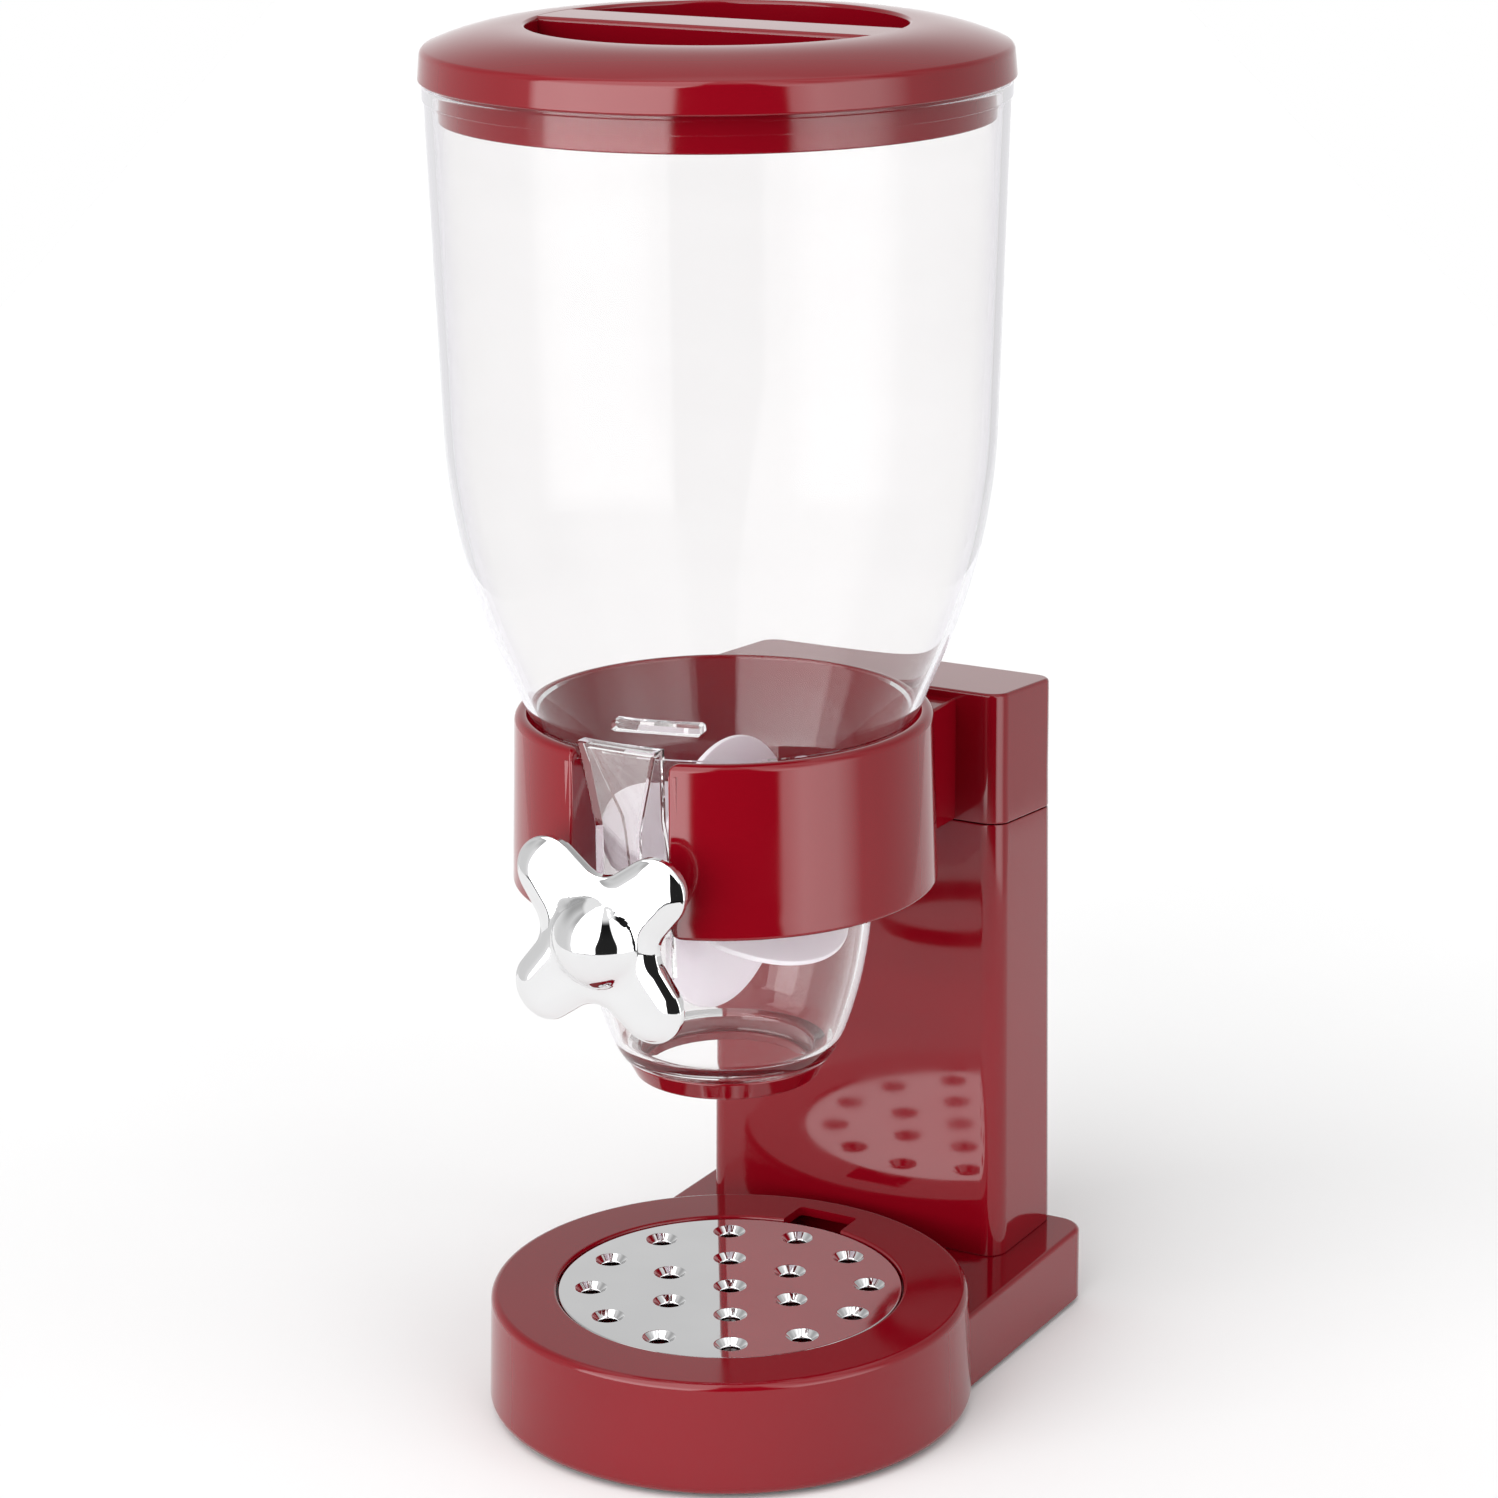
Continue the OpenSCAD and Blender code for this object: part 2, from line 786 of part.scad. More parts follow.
module lid_profile() {
  polygon([
    [lid_r, lid_z],
    [lid_r - 0.6, lid_z + lid_skirt_h - lid_edge],
    [lid_r - 2, lid_z + lid_skirt_h + 0.3],
    [dome_rim_r - 7, lid_top - 2.6],
    [grip_r + 7, lid_top - 0.35],
    [grip_r + 1, lid_top],
    [grip_r, lid_top - 1],
    [grip_r, lid_top - grip_depth],
    [0, lid_top - grip_depth],
    [0, lid_top - grip_depth - lid_t],
    [grip_r + lid_t, lid_top - grip_depth - lid_t],
    [grip_r + lid_t, lid_top - 3],
    [grip_r + 7, lid_top - 0.35 - lid_t],
    [plug_r - plug_t - 1, lid_top - 4.6],
    [plug_r - plug_t, lid_z + 5],
    [plug_r - plug_t, lid_z - plug_drop],
    [plug_r, lid_z - plug_drop],
    [plug_r, lid_seat],
    [lid_r - lid_t, lid_seat],
    [lid_r - lid_t, rim_top + gap],
    [lid_r - lid_t + 0.8, lid_z]
  ]);
}

module lid_cover() {
  color([0.56, 0.02, 0.08]) place() {
    rotate_extrude() lid_profile();
    difference() {
      intersection() {
        translate([-grip_r - 1, -grip_half_w, lid_top - grip_depth - fit])
          cube([2 * grip_r + 2, 2 * grip_half_w, grip_depth + fit]);
        translate([0, 0, lid_z - over]) cylinder(r = grip_r + 0.5, h = lid_top);
      }
      translate([-grip_r + lid_t, -grip_half_w + lid_t, 0])
        cube([2 * (grip_r - lid_t), 2 * (grip_half_w - lid_t), lid_top - lid_t]);
    }
  }
}

module lid_seal() {
  color([0.85, 0.85, 0.85]) place() translate([0, 0, rim_top + gap])
    tube(rim_r - 0.2, plug_r + fit, seal_t);
}

base();
column();
ring_bracket();
base_feet();
column_screws();
bracket_screws();
drip_tray();
canister();
outlet_ring();
front_bearing();
rear_bearing();
lid_cover();
lid_seal();
knob();
knob_washer();
shaft();
shaft_clip();
rotor_hub();
paddle_1();
paddle_2();
paddle_3();
paddle_4();
paddle_5();
paddle_6();
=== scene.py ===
"""Countertop dry food dispenser: detailed pieces, materials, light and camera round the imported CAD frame.

Shapes are drawn in millimetres from the hopper's axis, with heights from the lower edge of the red shell,
and moved into the row frame at the end. Front is -Y.
"""
import math

import bmesh
import bpy
from mathutils import Matrix, Vector


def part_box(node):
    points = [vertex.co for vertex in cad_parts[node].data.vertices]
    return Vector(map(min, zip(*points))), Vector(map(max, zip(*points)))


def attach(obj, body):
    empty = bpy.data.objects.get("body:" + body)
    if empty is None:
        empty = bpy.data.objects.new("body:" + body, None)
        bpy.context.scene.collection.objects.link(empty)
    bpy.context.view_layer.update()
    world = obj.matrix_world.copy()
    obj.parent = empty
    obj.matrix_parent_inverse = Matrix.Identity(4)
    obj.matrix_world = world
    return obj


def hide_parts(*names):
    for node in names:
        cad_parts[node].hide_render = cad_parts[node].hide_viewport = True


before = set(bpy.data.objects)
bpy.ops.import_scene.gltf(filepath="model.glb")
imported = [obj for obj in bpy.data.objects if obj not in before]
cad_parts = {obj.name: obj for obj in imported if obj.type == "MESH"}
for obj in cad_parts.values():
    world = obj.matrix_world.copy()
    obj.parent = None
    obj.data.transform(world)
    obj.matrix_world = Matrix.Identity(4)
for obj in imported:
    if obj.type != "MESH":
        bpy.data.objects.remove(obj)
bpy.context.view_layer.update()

# ---------------------------------------------------------------- frame of reference

MM = 0.001
outlet_low, outlet_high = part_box("outlet_ring")
AXIS_Y = (outlet_low.y + outlet_high.y) / 2
SHELL_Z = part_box("base")[0].z
ORIGIN = Vector((0.0, AXIS_Y, SHELL_Z))


def height_of(node):
    """Lowest and highest point of a CAD node, in mm over the shell's edge."""
    low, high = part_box(node)
    return (low.z - SHELL_Z) / MM, (high.z - SHELL_Z) / MM


def reach_of(node):
    """Front and back reach of a CAD node from the hopper's axis, in mm."""
    low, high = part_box(node)
    return (low.y - AXIS_Y) / MM, (high.y - AXIS_Y) / MM


def half_width(node):
    low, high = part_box(node)
    return (high.x - low.x) / 2 / MM


SEG = 160
SHELL_WALL = 2.6
CLEAR_WALL = 2.2
SHAFT_Z = (height_of("shaft")[0] + height_of("shaft")[1]) / 2

# ---------------------------------------------------------------- mesh helpers


def arc(cx, cz, r, a0, a1, steps=6):
    """Points of a circular arc in a profile, from angle a0 to a1 in degrees."""
    out = []
    for i in range(steps + 1):
        a = math.radians(a0 + (a1 - a0) * i / steps)
        out.append((cx + r * math.cos(a), cz + r * math.sin(a)))
    return out


def circle(cx, cy, r, z, n=48):
    """Points of a level circle."""
    turns = (2 * math.pi * i / n for i in range(n))
    return [(cx + r * math.cos(a), cy + r * math.sin(a), z) for a in turns]


def shaft_circle(r, y, n):
    """Points of a circle round the shaft."""
    turns = (2 * math.pi * i / n for i in range(n))
    return [(r * math.cos(a), y, SHAFT_Z + r * math.sin(a)) for a in turns]


class Build:
    """Collects vertices and faces in mm, then makes one object of them in the row frame."""

    def __init__(self):
        self.bm = bmesh.new()

    def ring(self, points):
        return [self.bm.verts.new(Vector(p) * MM) for p in points]

    def bridge(self, a, b, closed=True):
        n = len(a)
        for i in range(n if closed else n - 1):
            j = (i + 1) % n
            quad = [a[i], a[j], b[j], b[i]]
            quad = [v for k, v in enumerate(quad) if v not in quad[:k]]
            if len(quad) > 2:
                self.bm.faces.new(quad)

    def cap(self, loop):
        self.bm.faces.new(loop)

    def loft(self, loops, cap_start=True, cap_end=True):
        rings = [self.ring(l) for l in loops]
        for a, b in zip(rings, rings[1:]):
            self.bridge(a, b)
        if cap_start:
            self.cap(rings[0])
        if cap_end:
            self.cap(rings[-1])
        return rings

    def revolve(self, profile, closed=True, seg=SEG):
        """Turns a profile of (r, z) about the axis. A closed profile ends where it starts."""
        rings = []
        for r, z in profile:
            if r < 1e-6:
                v = self.bm.verts.new((0, 0, z * MM))
                rings.append([v] * seg)
            else:
                rings.append(self.ring(
                    (r * math.cos(2 * math.pi * i / seg), r * math.sin(2 * math.pi * i / seg), z)
                    for i in range(seg)
                ))
        pairs = list(zip(rings, rings[1:]))
        if closed:
            pairs.append((rings[-1], rings[0]))
        for a, b in pairs:
            if a[0] is a[1] and b[0] is b[1]:
                continue
            self.bridge(a, b)

    def link(self, name):
        """Makes an object of the faces so far, with its normals outwards."""
        bmesh.ops.recalc_face_normals(self.bm, faces=self.bm.faces)
        mesh = bpy.data.meshes.new(name)
        self.bm.to_mesh(mesh)
        self.bm.free()
        mesh.transform(Matrix.Translation(ORIGIN))
        obj = bpy.data.objects.new(name, mesh)
        bpy.context.scene.collection.objects.link(obj)
        return obj

    def cutter(self):
        return self.link("cutter")

    def finish(self, name, body, material, replaces=(), sharp=35, weighted=True):
        """Makes a finished piece that rides on a body and stands for the CAD nodes it replaces."""
        obj = self.link(name)
        mesh = obj.data
        mesh.shade_smooth()
        mesh.set_sharp_from_angle(angle=math.radians(sharp))
        mesh.materials.append(material)
        if weighted:
            mod = obj.modifiers.new("weighted", "WEIGHTED_NORMAL")
            mod.keep_sharp = True
        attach(obj, body)
        if replaces:
            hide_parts(*replaces)
        return obj


def round_rect(hw, y0, y1, r, z, n=6):
    """Loop of a rectangle with rounded corners, counter-clockwise. z is a number or a function of y."""
    height = z if callable(z) else (lambda y: z)
    out = []
    corners = ((hw - r, y0 + r, -90), (hw - r, y1 - r, 0), (-hw + r, y1 - r, 90), (-hw + r, y0 + r, 180))
    for cx, cy, a0 in corners:
        for x, y in arc(cx, cy, r, a0, a0 + 90, n):
            out.append((x, y, height(y)))
    return out


def subtract(obj, cutters):
    """Cuts each closed mesh away from obj and removes the cutters."""
    for cutter in cutters:
        mod = obj.modifiers.new("cut", "BOOLEAN")
        mod.operation = "DIFFERENCE"
        mod.solver = "EXACT"
        mod.object = cutter
    kept = [m for m in obj.modifiers if m.type != "BOOLEAN"]
    for m in kept:
        m.show_viewport = False
    graph = bpy.context.evaluated_depsgraph_get()
    mesh = bpy.data.meshes.new_from_object(obj.evaluated_get(graph))
    old = obj.data
    obj.data = mesh
    bpy.data.meshes.remove(old)
    for m in [m for m in obj.modifiers if m.type == "BOOLEAN"]:
        obj.modifiers.remove(m)
    for m in kept:
        m.show_viewport = True
    for cutter in cutters:
        bpy.data.objects.remove(cutter)
    obj.data.set_sharp_from_angle(angle=math.radians(35))


def cutter_box(x0, x1, y0, y1, z0, z1, r=1.5):
    """A box with rounded vertical edges, for cutting."""
    b = Build()
    b.loft([[(x + (x0 + x1) / 2, y, z) for x, y, z in round_rect((x1 - x0) / 2, y0, y1, r, z)]
            for z in (z0, z1)])
    return b.cutter()


# ---------------------------------------------------------------- materials


class Nodes:
    """A node material with short calls for the pieces that most materials share."""

    def __init__(self, name):
        self.mat = bpy.data.materials.new(name)
        self.mat.use_nodes = True
        self.tree = self.mat.node_tree
        self.bsdf = self.tree.nodes["Principled BSDF"]
        self.coord = self.tree.nodes.new("ShaderNodeTexCoord")

    def set(self, **values):
        for key, value in values.items():
            self.bsdf.inputs[key.replace("_", " ")].default_value = value

    def noise(self, scale, detail=2.0, roughness=0.5, stretch=(1, 1, 1)):
        mapping = self.tree.nodes.new("ShaderNodeMapping")
        mapping.inputs["Scale"].default_value = stretch
        self.tree.links.new(self.coord.outputs["Object"], mapping.inputs["Vector"])
        node = self.tree.nodes.new("ShaderNodeTexNoise")
        node.inputs["Scale"].default_value = scale
        node.inputs["Detail"].default_value = detail
        node.inputs["Roughness"].default_value = roughness
        self.tree.links.new(mapping.outputs["Vector"], node.inputs["Vector"])
        return node.outputs["Fac"]

    def remap(self, value, low, high, start=0.35, end=0.65):
        node = self.tree.nodes.new("ShaderNodeMapRange")
        node.inputs["From Min"].default_value = start
        node.inputs["From Max"].default_value = end
        node.inputs["To Min"].default_value = low
        node.inputs["To Max"].default_value = high
        self.tree.links.new(value, node.inputs["Value"])
        return node.outputs["Result"]

    def mix(self, factor, a, b):
        node = self.tree.nodes.new("ShaderNodeMix")
        node.data_type = "RGBA"
        self.tree.links.new(factor, node.inputs["Factor"])
        for socket, value in ((node.inputs[6], a), (node.inputs[7], b)):
            if isinstance(value, tuple):
                socket.default_value = (*value, 1.0)
            else:
                self.tree.links.new(value, socket)
        return node.outputs[2]

    def link(self, value, socket):
        self.tree.links.new(value, self.bsdf.inputs[socket])

    def bump(self, value, strength, distance):
        node = self.tree.nodes.new("ShaderNodeBump")
        node.inputs["Strength"].default_value = strength
        node.inputs["Distance"].default_value = distance
        self.tree.links.new(value, node.inputs["Height"])
        self.link(node.outputs["Normal"], "Normal")


def red_plastic():
    """Polished moulded plastic: slight depth of colour, faint flow variation and a very fine ripple."""
    m = Nodes("red_gloss_plastic")
    m.set(Roughness=0.07, IOR=1.5)
    shade = m.remap(m.noise(9.0, 3.0), 0.0, 1.0)
    m.link(m.mix(shade, (0.160, 0.0010, 0.0050), (0.182, 0.0013, 0.0064)), "Base Color")
    m.link(m.remap(m.noise(55.0, 4.0, 0.6), 0.05, 0.10), "Roughness")
    m.bump(m.noise(38.0, 2.0), 0.05, 0.0004)
    return m.mat


def clear_plastic(name, ior):
    """Clear polished moulding: a violet cast at its edges, faint flow lines and fine handling marks."""
    m = Nodes(name)
    m.set(Roughness=0.015, IOR=ior, Transmission_Weight=1.0)
    body = m.mix(m.remap(m.noise(14.0, 2.0), 0.0, 1.0), (0.945, 0.936, 0.938), (0.951, 0.943, 0.944))
    edge = m.tree.nodes.new("ShaderNodeLayerWeight")
    edge.inputs["Blend"].default_value = 0.22
    cast = m.remap(edge.outputs["Facing"], 0.0, 1.0, 0.35, 1.0)
    m.link(m.mix(cast, body, (0.60, 0.55, 0.78)), "Base Color")
    m.link(m.remap(m.noise(90.0, 4.0, 0.6), 0.004, 0.016, 0.45, 0.75), "Roughness")
    m.bump(m.noise(9.0, 1.0, 0.3, (1, 1, 0.25)), 0.03, 0.0005)
    return m.mat


def chrome_plate():
    """Bright plating over plastic: tiny waviness of the plastic under it and faint wipe marks."""
    m = Nodes("chrome_plate")
    m.set(Metallic=1.0, Roughness=0.03)
    shade = m.remap(m.noise(30.0, 3.0), 0.0, 1.0)
    m.link(m.mix(shade, (0.80, 0.80, 0.805), (0.84, 0.84, 0.845)), "Base Color")
    m.link(m.remap(m.noise(130.0, 6.0, 0.7), 0.015, 0.06), "Roughness")
    m.bump(m.noise(45.0, 1.0), 0.04, 0.0003)
    return m.mat


def silicone():
    """Milky soft silicone with a satin skin."""
    m = Nodes("milky_silicone")
    m.set(Roughness=0.42, IOR=1.41, Subsurface_Weight=0.35, Subsurface_Scale=0.004)
    m.bsdf.inputs["Subsurface Radius"].default_value = (1.0, 0.85, 0.95)
    m.link(m.mix(m.remap(m.noise(35.0, 3.0), 0.0, 1.0), (0.84, 0.79, 0.85), (0.88, 0.84, 0.89)), "Base Color")
    m.link(m.remap(m.noise(180.0, 4.0), 0.36, 0.50), "Roughness")
    m.bump(m.noise(260.0, 3.0), 0.12, 0.0002)
    return m.mat


def steel(name, low=0.18, high=0.34):
    """Turned or rolled steel, with fine circular tool marks."""
    m = Nodes(name)
    m.set(Metallic=1.0)
    m.link(m.mix(m.remap(m.noise(60.0, 3.0), 0.0, 1.0), (0.50, 0.50, 0.51), (0.60, 0.60, 0.61)), "Base Color")
    m.link(m.remap(m.noise(90.0, 4.0, 0.6, (1, 14, 1)), low, high), "Roughness")
    m.bump(m.noise(120.0, 2.0, 0.5, (1, 18, 1)), 0.15, 0.0002)
    return m.mat


def matte(name, dark, light, roughness, grain):
    """Plain moulded plastic or rubber with a fine grain."""
    m = Nodes(name)
    m.link(m.mix(m.remap(m.noise(40.0, 3.0), 0.0, 1.0), dark, light), "Base Color")
    m.link(m.remap(m.noise(grain, 3.0), roughness - 0.08, roughness + 0.08), "Roughness")
    m.bump(m.noise(grain, 4.0), 0.2, 0.0002)
    return m.mat


RED = red_plastic()
CLEAR = clear_plastic("clear_plastic_thick", 1.40)
CLEAR_THIN = clear_plastic("clear_plastic_thin", 1.16)
CHROME = chrome_plate()
SILICONE = silicone()
SHAFT_STEEL = steel("turned_steel", 0.14, 0.26)
SCREW_STEEL = steel("plain_steel", 0.25, 0.42)
BUSH = matte("white_bush_plastic", (0.72, 0.72, 0.70), (0.80, 0.80, 0.78), 0.45, 220.0)
SEAL = matte("clear_silicone", (0.66, 0.67, 0.69), (0.74, 0.75, 0.77), 0.35, 160.0)
RUBBER = matte("black_rubber", (0.010, 0.010, 0.010), (0.018, 0.018, 0.018), 0.75, 300.0)

# ---------------------------------------------------------------- base

BASE_R, BASE_TOP_R = 68.7, 67.8
BASE_H = height_of("base")[1]
FOOT_H = 22.6
FOOT_HALF = 60.0
FOOT_FRONT = 22.0
BACK = reach_of("base")[1]
TRAY_LOW, TRAY_TOP = height_of("drip_tray")
TRAY_R = half_width("drip_tray")
RECESS_R = TRAY_R + 0.5
WELL_R = RECESS_R - 3
WELL_FLOOR = 16.2
NOTCH_HALF, NOTCH_BACK, NOTCH_DEPTH = 9.5, 59.2, 6.0
PAD_POSTS, PAD_POST_R = ((49.0, 98.0), (40.0, -40.0)), 7.5


def make_base():
    b = Build()
    low_f, top_f, lip_f = 3.0, 2.2, 0.9
    profile = arc(BASE_R - low_f, low_f, low_f, -90, 0, 7)
    profile += arc(BASE_TOP_R - top_f, BASE_H - top_f, top_f, 1, 90, 8)
    profile += arc(RECESS_R + lip_f, BASE_H - lip_f, lip_f, 90, 180, 6)
    profile += [
        (RECESS_R, TRAY_LOW - 0.3), (WELL_R, TRAY_LOW - 0.3), (WELL_R, WELL_FLOOR + 1.5),
        *arc(WELL_R - 1.5, WELL_FLOOR + 1.5, 1.5, 0, -90, 4), (0, WELL_FLOOR),
        (0, WELL_FLOOR - 2.4), (RECESS_R + 2, WELL_FLOOR - 2.4), (RECESS_R + 2, BASE_H - SHELL_WALL),
        (BASE_TOP_R - SHELL_WALL, BASE_H - SHELL_WALL), (BASE_R - SHELL_WALL - 0.6, 0.4),
    ]
    b.revolve(profile, closed=False)
    first, last = profile[0], profile[-1]
    b.revolve([last, first], closed=False)
    bmesh.ops.remove_doubles(b.bm, verts=b.bm.verts, dist=1e-6)
    disc = b.finish("base_disc", "stand", RED, ["base"])
    notch = (-NOTCH_HALF, NOTCH_HALF, RECESS_R - 4, NOTCH_BACK, BASE_H - NOTCH_DEPTH, BASE_H + 5)
    subtract(disc, [cutter_box(*notch)])

    b = Build()
    top_f, corner = 1.4, 8.0
    outer = [round_rect(FOOT_HALF - 0.5, FOOT_FRONT, BACK - 0.5, corner, 0.0),
             round_rect(FOOT_HALF, FOOT_FRONT - 0.5, BACK, corner, 0.6)]
    for dx, dz in arc(0, 0, top_f, 0, 90, 6):
        w = top_f - dx
        outer.append(round_rect(FOOT_HALF - w, FOOT_FRONT + w, BACK - w, corner - w, FOOT_H - top_f + dz))
    inner = [round_rect(FOOT_HALF - w, FOOT_FRONT + w, BACK - w, corner - SHELL_WALL, z)
             for w, z in ((SHELL_WALL, FOOT_H - SHELL_WALL), (SHELL_WALL, 0.4), (SHELL_WALL - 0.6, 0.0))]
    rings = b.loft(outer, cap_start=False)
    inner_rings = b.loft(inner, cap_end=False)
    b.bridge(inner_rings[-1], rings[0])
    # Posts over the four rubber pads.
    for side in (-1, 1):
        for x, y in PAD_POSTS:
            b.loft([circle(side * x, y, PAD_POST_R, z) for z in (0.0, FOOT_H - 1.0)])
    b.finish("base_foot", "stand", RED, ["base"])


# ---------------------------------------------------------------- column and bracket

SEAM_Z = 155.5
SEAM_DROP = 3.0
COL_CORNER = 6.0
COLUMN_BOTTOM = dict(hw=49.0, y0=72.6, y1=111.0)
COLUMN_TOP = dict(hw=47.7, y0=73.7, y1=110.5)
CAP_TOP = 194.0


def slope(z_front):
    """Height of a face that falls towards the back, as the seam does."""
    return lambda y: z_front - SEAM_DROP * (y - COLUMN_TOP["y0"]) / (COLUMN_TOP["y1"] - COLUMN_TOP["y0"])


def column_at(t, inset, z):
    """Rounded outline of the column at t, 0 at its foot and 1 at the seam."""
    mixed = {k: COLUMN_BOTTOM[k] + (COLUMN_TOP[k] - COLUMN_BOTTOM[k]) * t for k in COLUMN_TOP}
    return round_rect(mixed["hw"] - inset, mixed["y0"] + inset, mixed["y1"] - inset, COL_CORNER - inset, z, 7)


def make_column():
    b = Build()
    loops = [column_at(0, 0.5, FOOT_H + 0.05), column_at(0, 0.12, FOOT_H + 0.2)]
    loops.append(column_at(0.003, 0.0, FOOT_H + 0.6))
    for t in (0.25, 0.5, 0.75):
        loops.append(column_at(t, 0.0, lambda y, t=t: FOOT_H + (slope(SEAM_Z)(y) - FOOT_H) * t))
    for inset, drop in ((0.0, 0.75), (0.12, 0.35), (0.5, 0.2)):
        loops.append(column_at(1, inset, slope(SEAM_Z - drop)))
    b.loft(loops)
    b.finish("column_shell", "stand", RED, ["column"])


RING_R_LOW, RING_R_TOP = 58.5, 57.2
RING_BORE = 53.7
RING_TOP = height_of("ring_bracket")[1]
SLOT_HALF = 14.7
SLOT_CORNER = 4.0
ARM_HALF, ARM_TOP = 33.5, 191.5


def ring_section(inset):
    """Closed outline of the ring's wall, from the bore's foot round the outside to the bore's top."""
    f_top, f_low, f_in = 2.2, 1.0, 0.9
    z0, z1 = SEAM_Z + inset, RING_TOP - inset
    ro0, ro1, ri = RING_R_LOW - inset, RING_R_TOP - inset, RING_BORE + inset
    f_top, f_low, f_in = (max(f - inset * 0.6, 0.3) for f in (f_top, f_low, f_in))
    out = arc(ri + f_in, z0 + f_in, f_in, 180, 270, 4)
    out += arc(ro0 - f_low, z0 + f_low, f_low, -90, 0, 5)
    for k in range(1, 12):
        t = k / 12
        out.append((ro0 + (ro1 - ro0) * t, z0 + f_low + (z1 - f_top - z0 - f_low) * t))
    out += arc(ro1 - f_top, z1 - f_top, f_top, 2, 90, 8)
    out += arc(ri + f_in, z1 - f_in, f_in, 90, 180, 4)
    for k in range(1, 12):
        out.append((ri, z1 - f_in - (z1 - z0 - 2 * f_in) * k / 12))
    return out


def slot_edge(z):
    """Half the slot's width at a height: wider where the ring's free lower corners are rounded."""
    up, down = z - SEAM_Z, RING_TOP - z
    extra = 0.0
    if up < SLOT_CORNER:
        extra += SLOT_CORNER - math.sqrt(max(SLOT_CORNER ** 2 - (SLOT_CORNER - up) ** 2, 0))
    if down < 1.6:
        extra += 1.6 - math.sqrt(max(1.6 ** 2 - (1.6 - down) ** 2, 0))
    return SLOT_HALF + extra


def make_bracket():
    # The ring runs from one edge of the slot round the back to the other, with both edges rounded over.
    b = Build()
    edge_r, around = 1.0, 150

    def station(side, back_off, inset):
        pts = []
        for r, z in ring_section(inset):
            x = (slot_edge(z) + back_off) * side
            pts.append((x, -math.sqrt(max(r * r - x * x, 1.0)), z))
        return pts

    def swept(t):
        pts = []
        for r, z in ring_section(0.0):
            start = math.asin(min((slot_edge(z) + edge_r) / r, 1.0))
            a = start + (2 * math.pi - 2 * start) * t
            pts.append((r * math.sin(a), -r * math.cos(a), z))
        return pts

    quarter = [math.pi / 2 * k / 5 for k in range(5)]
    rounded = [(edge_r * (1 - math.cos(a)), edge_r * (1 - math.sin(a))) for a in quarter]
    loops = [station(1, off, inset) for off, inset in rounded]
    loops += [swept(i / around) for i in range(around + 1)]
    loops += [station(-1, off, inset) for off, inset in reversed(rounded)]
    b.loft(loops)

    # Cheeks: plates that run inwards from the slot's edges and guide the hopper's front housing.
    for side in (-1, 1):
        outline = [(-43.5, SEAM_Z + 5), (-43.5, 181.0), (-44.6, 184.5),
                   (-51.2, 200.0), (-55, 200.0), (-55, SEAM_Z + 5)]
        loops = []
        for x, inset in ((SLOT_HALF + 0.02, 0.5), (SLOT_HALF + 0.2, 0.1), (SLOT_HALF + 0.6, 0.0),
                         (SLOT_HALF + 1.9, 0.0), (SLOT_HALF + 2.3, 0.4)):
            loops.append([(side * x, y - inset * (1 if y > -50 else 0), z) for y, z in outline])
        b.loft(loops)

    # Arm: an open-bottomed box between ring and cap.
    r = 1.0

    def arm(inset, z):
        return round_rect(ARM_HALF - inset, RING_BORE - 8, COLUMN_TOP["y0"] + 3, r, z, 4)

    outer = [arm(0.4, SEAM_Z + 0.02), arm(0.0, SEAM_Z + 0.5)]
    outer += [arm(r - dx, ARM_TOP - r + dz) for dx, dz in arc(0, 0, r, 0, 90, 5)]
    b_arm = Build()
    rings = b_arm.loft(outer, cap_start=False)
    inner = [round_rect(ARM_HALF - SHELL_WALL, RING_BORE - 8 + 0.5, COLUMN_TOP["y0"] + 2.5, 0.8, z, 4)
             for z in (ARM_TOP - SHELL_WALL, SEAM_Z + 0.02)]
    inner_rings = b_arm.loft(inner, cap_end=False)
    b_arm.bridge(inner_rings[-1], rings[0])
    arm_obj = b_arm.finish("bracket_arm", "stand", RED, ["ring_bracket"])
    bore = Build()
    bore.loft([circle(0, 0, RING_BORE + 1.2, z, 128) for z in (SEAM_Z - 5, RING_TOP + 5)])
    subtract(arm_obj, [bore.cutter()])

    # Cap: sits on the column, with a fine groove at the seam.
    cap_r = 1.1
    edge = ((0.5, 0.02), (0.12, 0.15), (0.0, 0.55))
    loops = [column_at(1, inset, slope(SEAM_Z + rise)) for inset, rise in edge]
    for t in (0.3, 0.6, 0.9):
        loops.append(column_at(1, 0.15, lambda y, t=t: slope(SEAM_Z)(y) + (CAP_TOP - SEAM_Z) * t))
    for dx, dz in arc(0, 0, cap_r, 0, 90, 6):
        loops.append(column_at(1, 0.2 + cap_r - dx, slope(CAP_TOP - cap_r + dz)))
    b.loft(loops)
    b.finish("ring_and_cap", "stand", RED, ["ring_bracket"])


# ---------------------------------------------------------------- tray

HOLE_TOP, HOLE_R = 4.4, 2.8
HOLE_RINGS = ((0.0, 1), (19.8, 6), (39.5, 12))


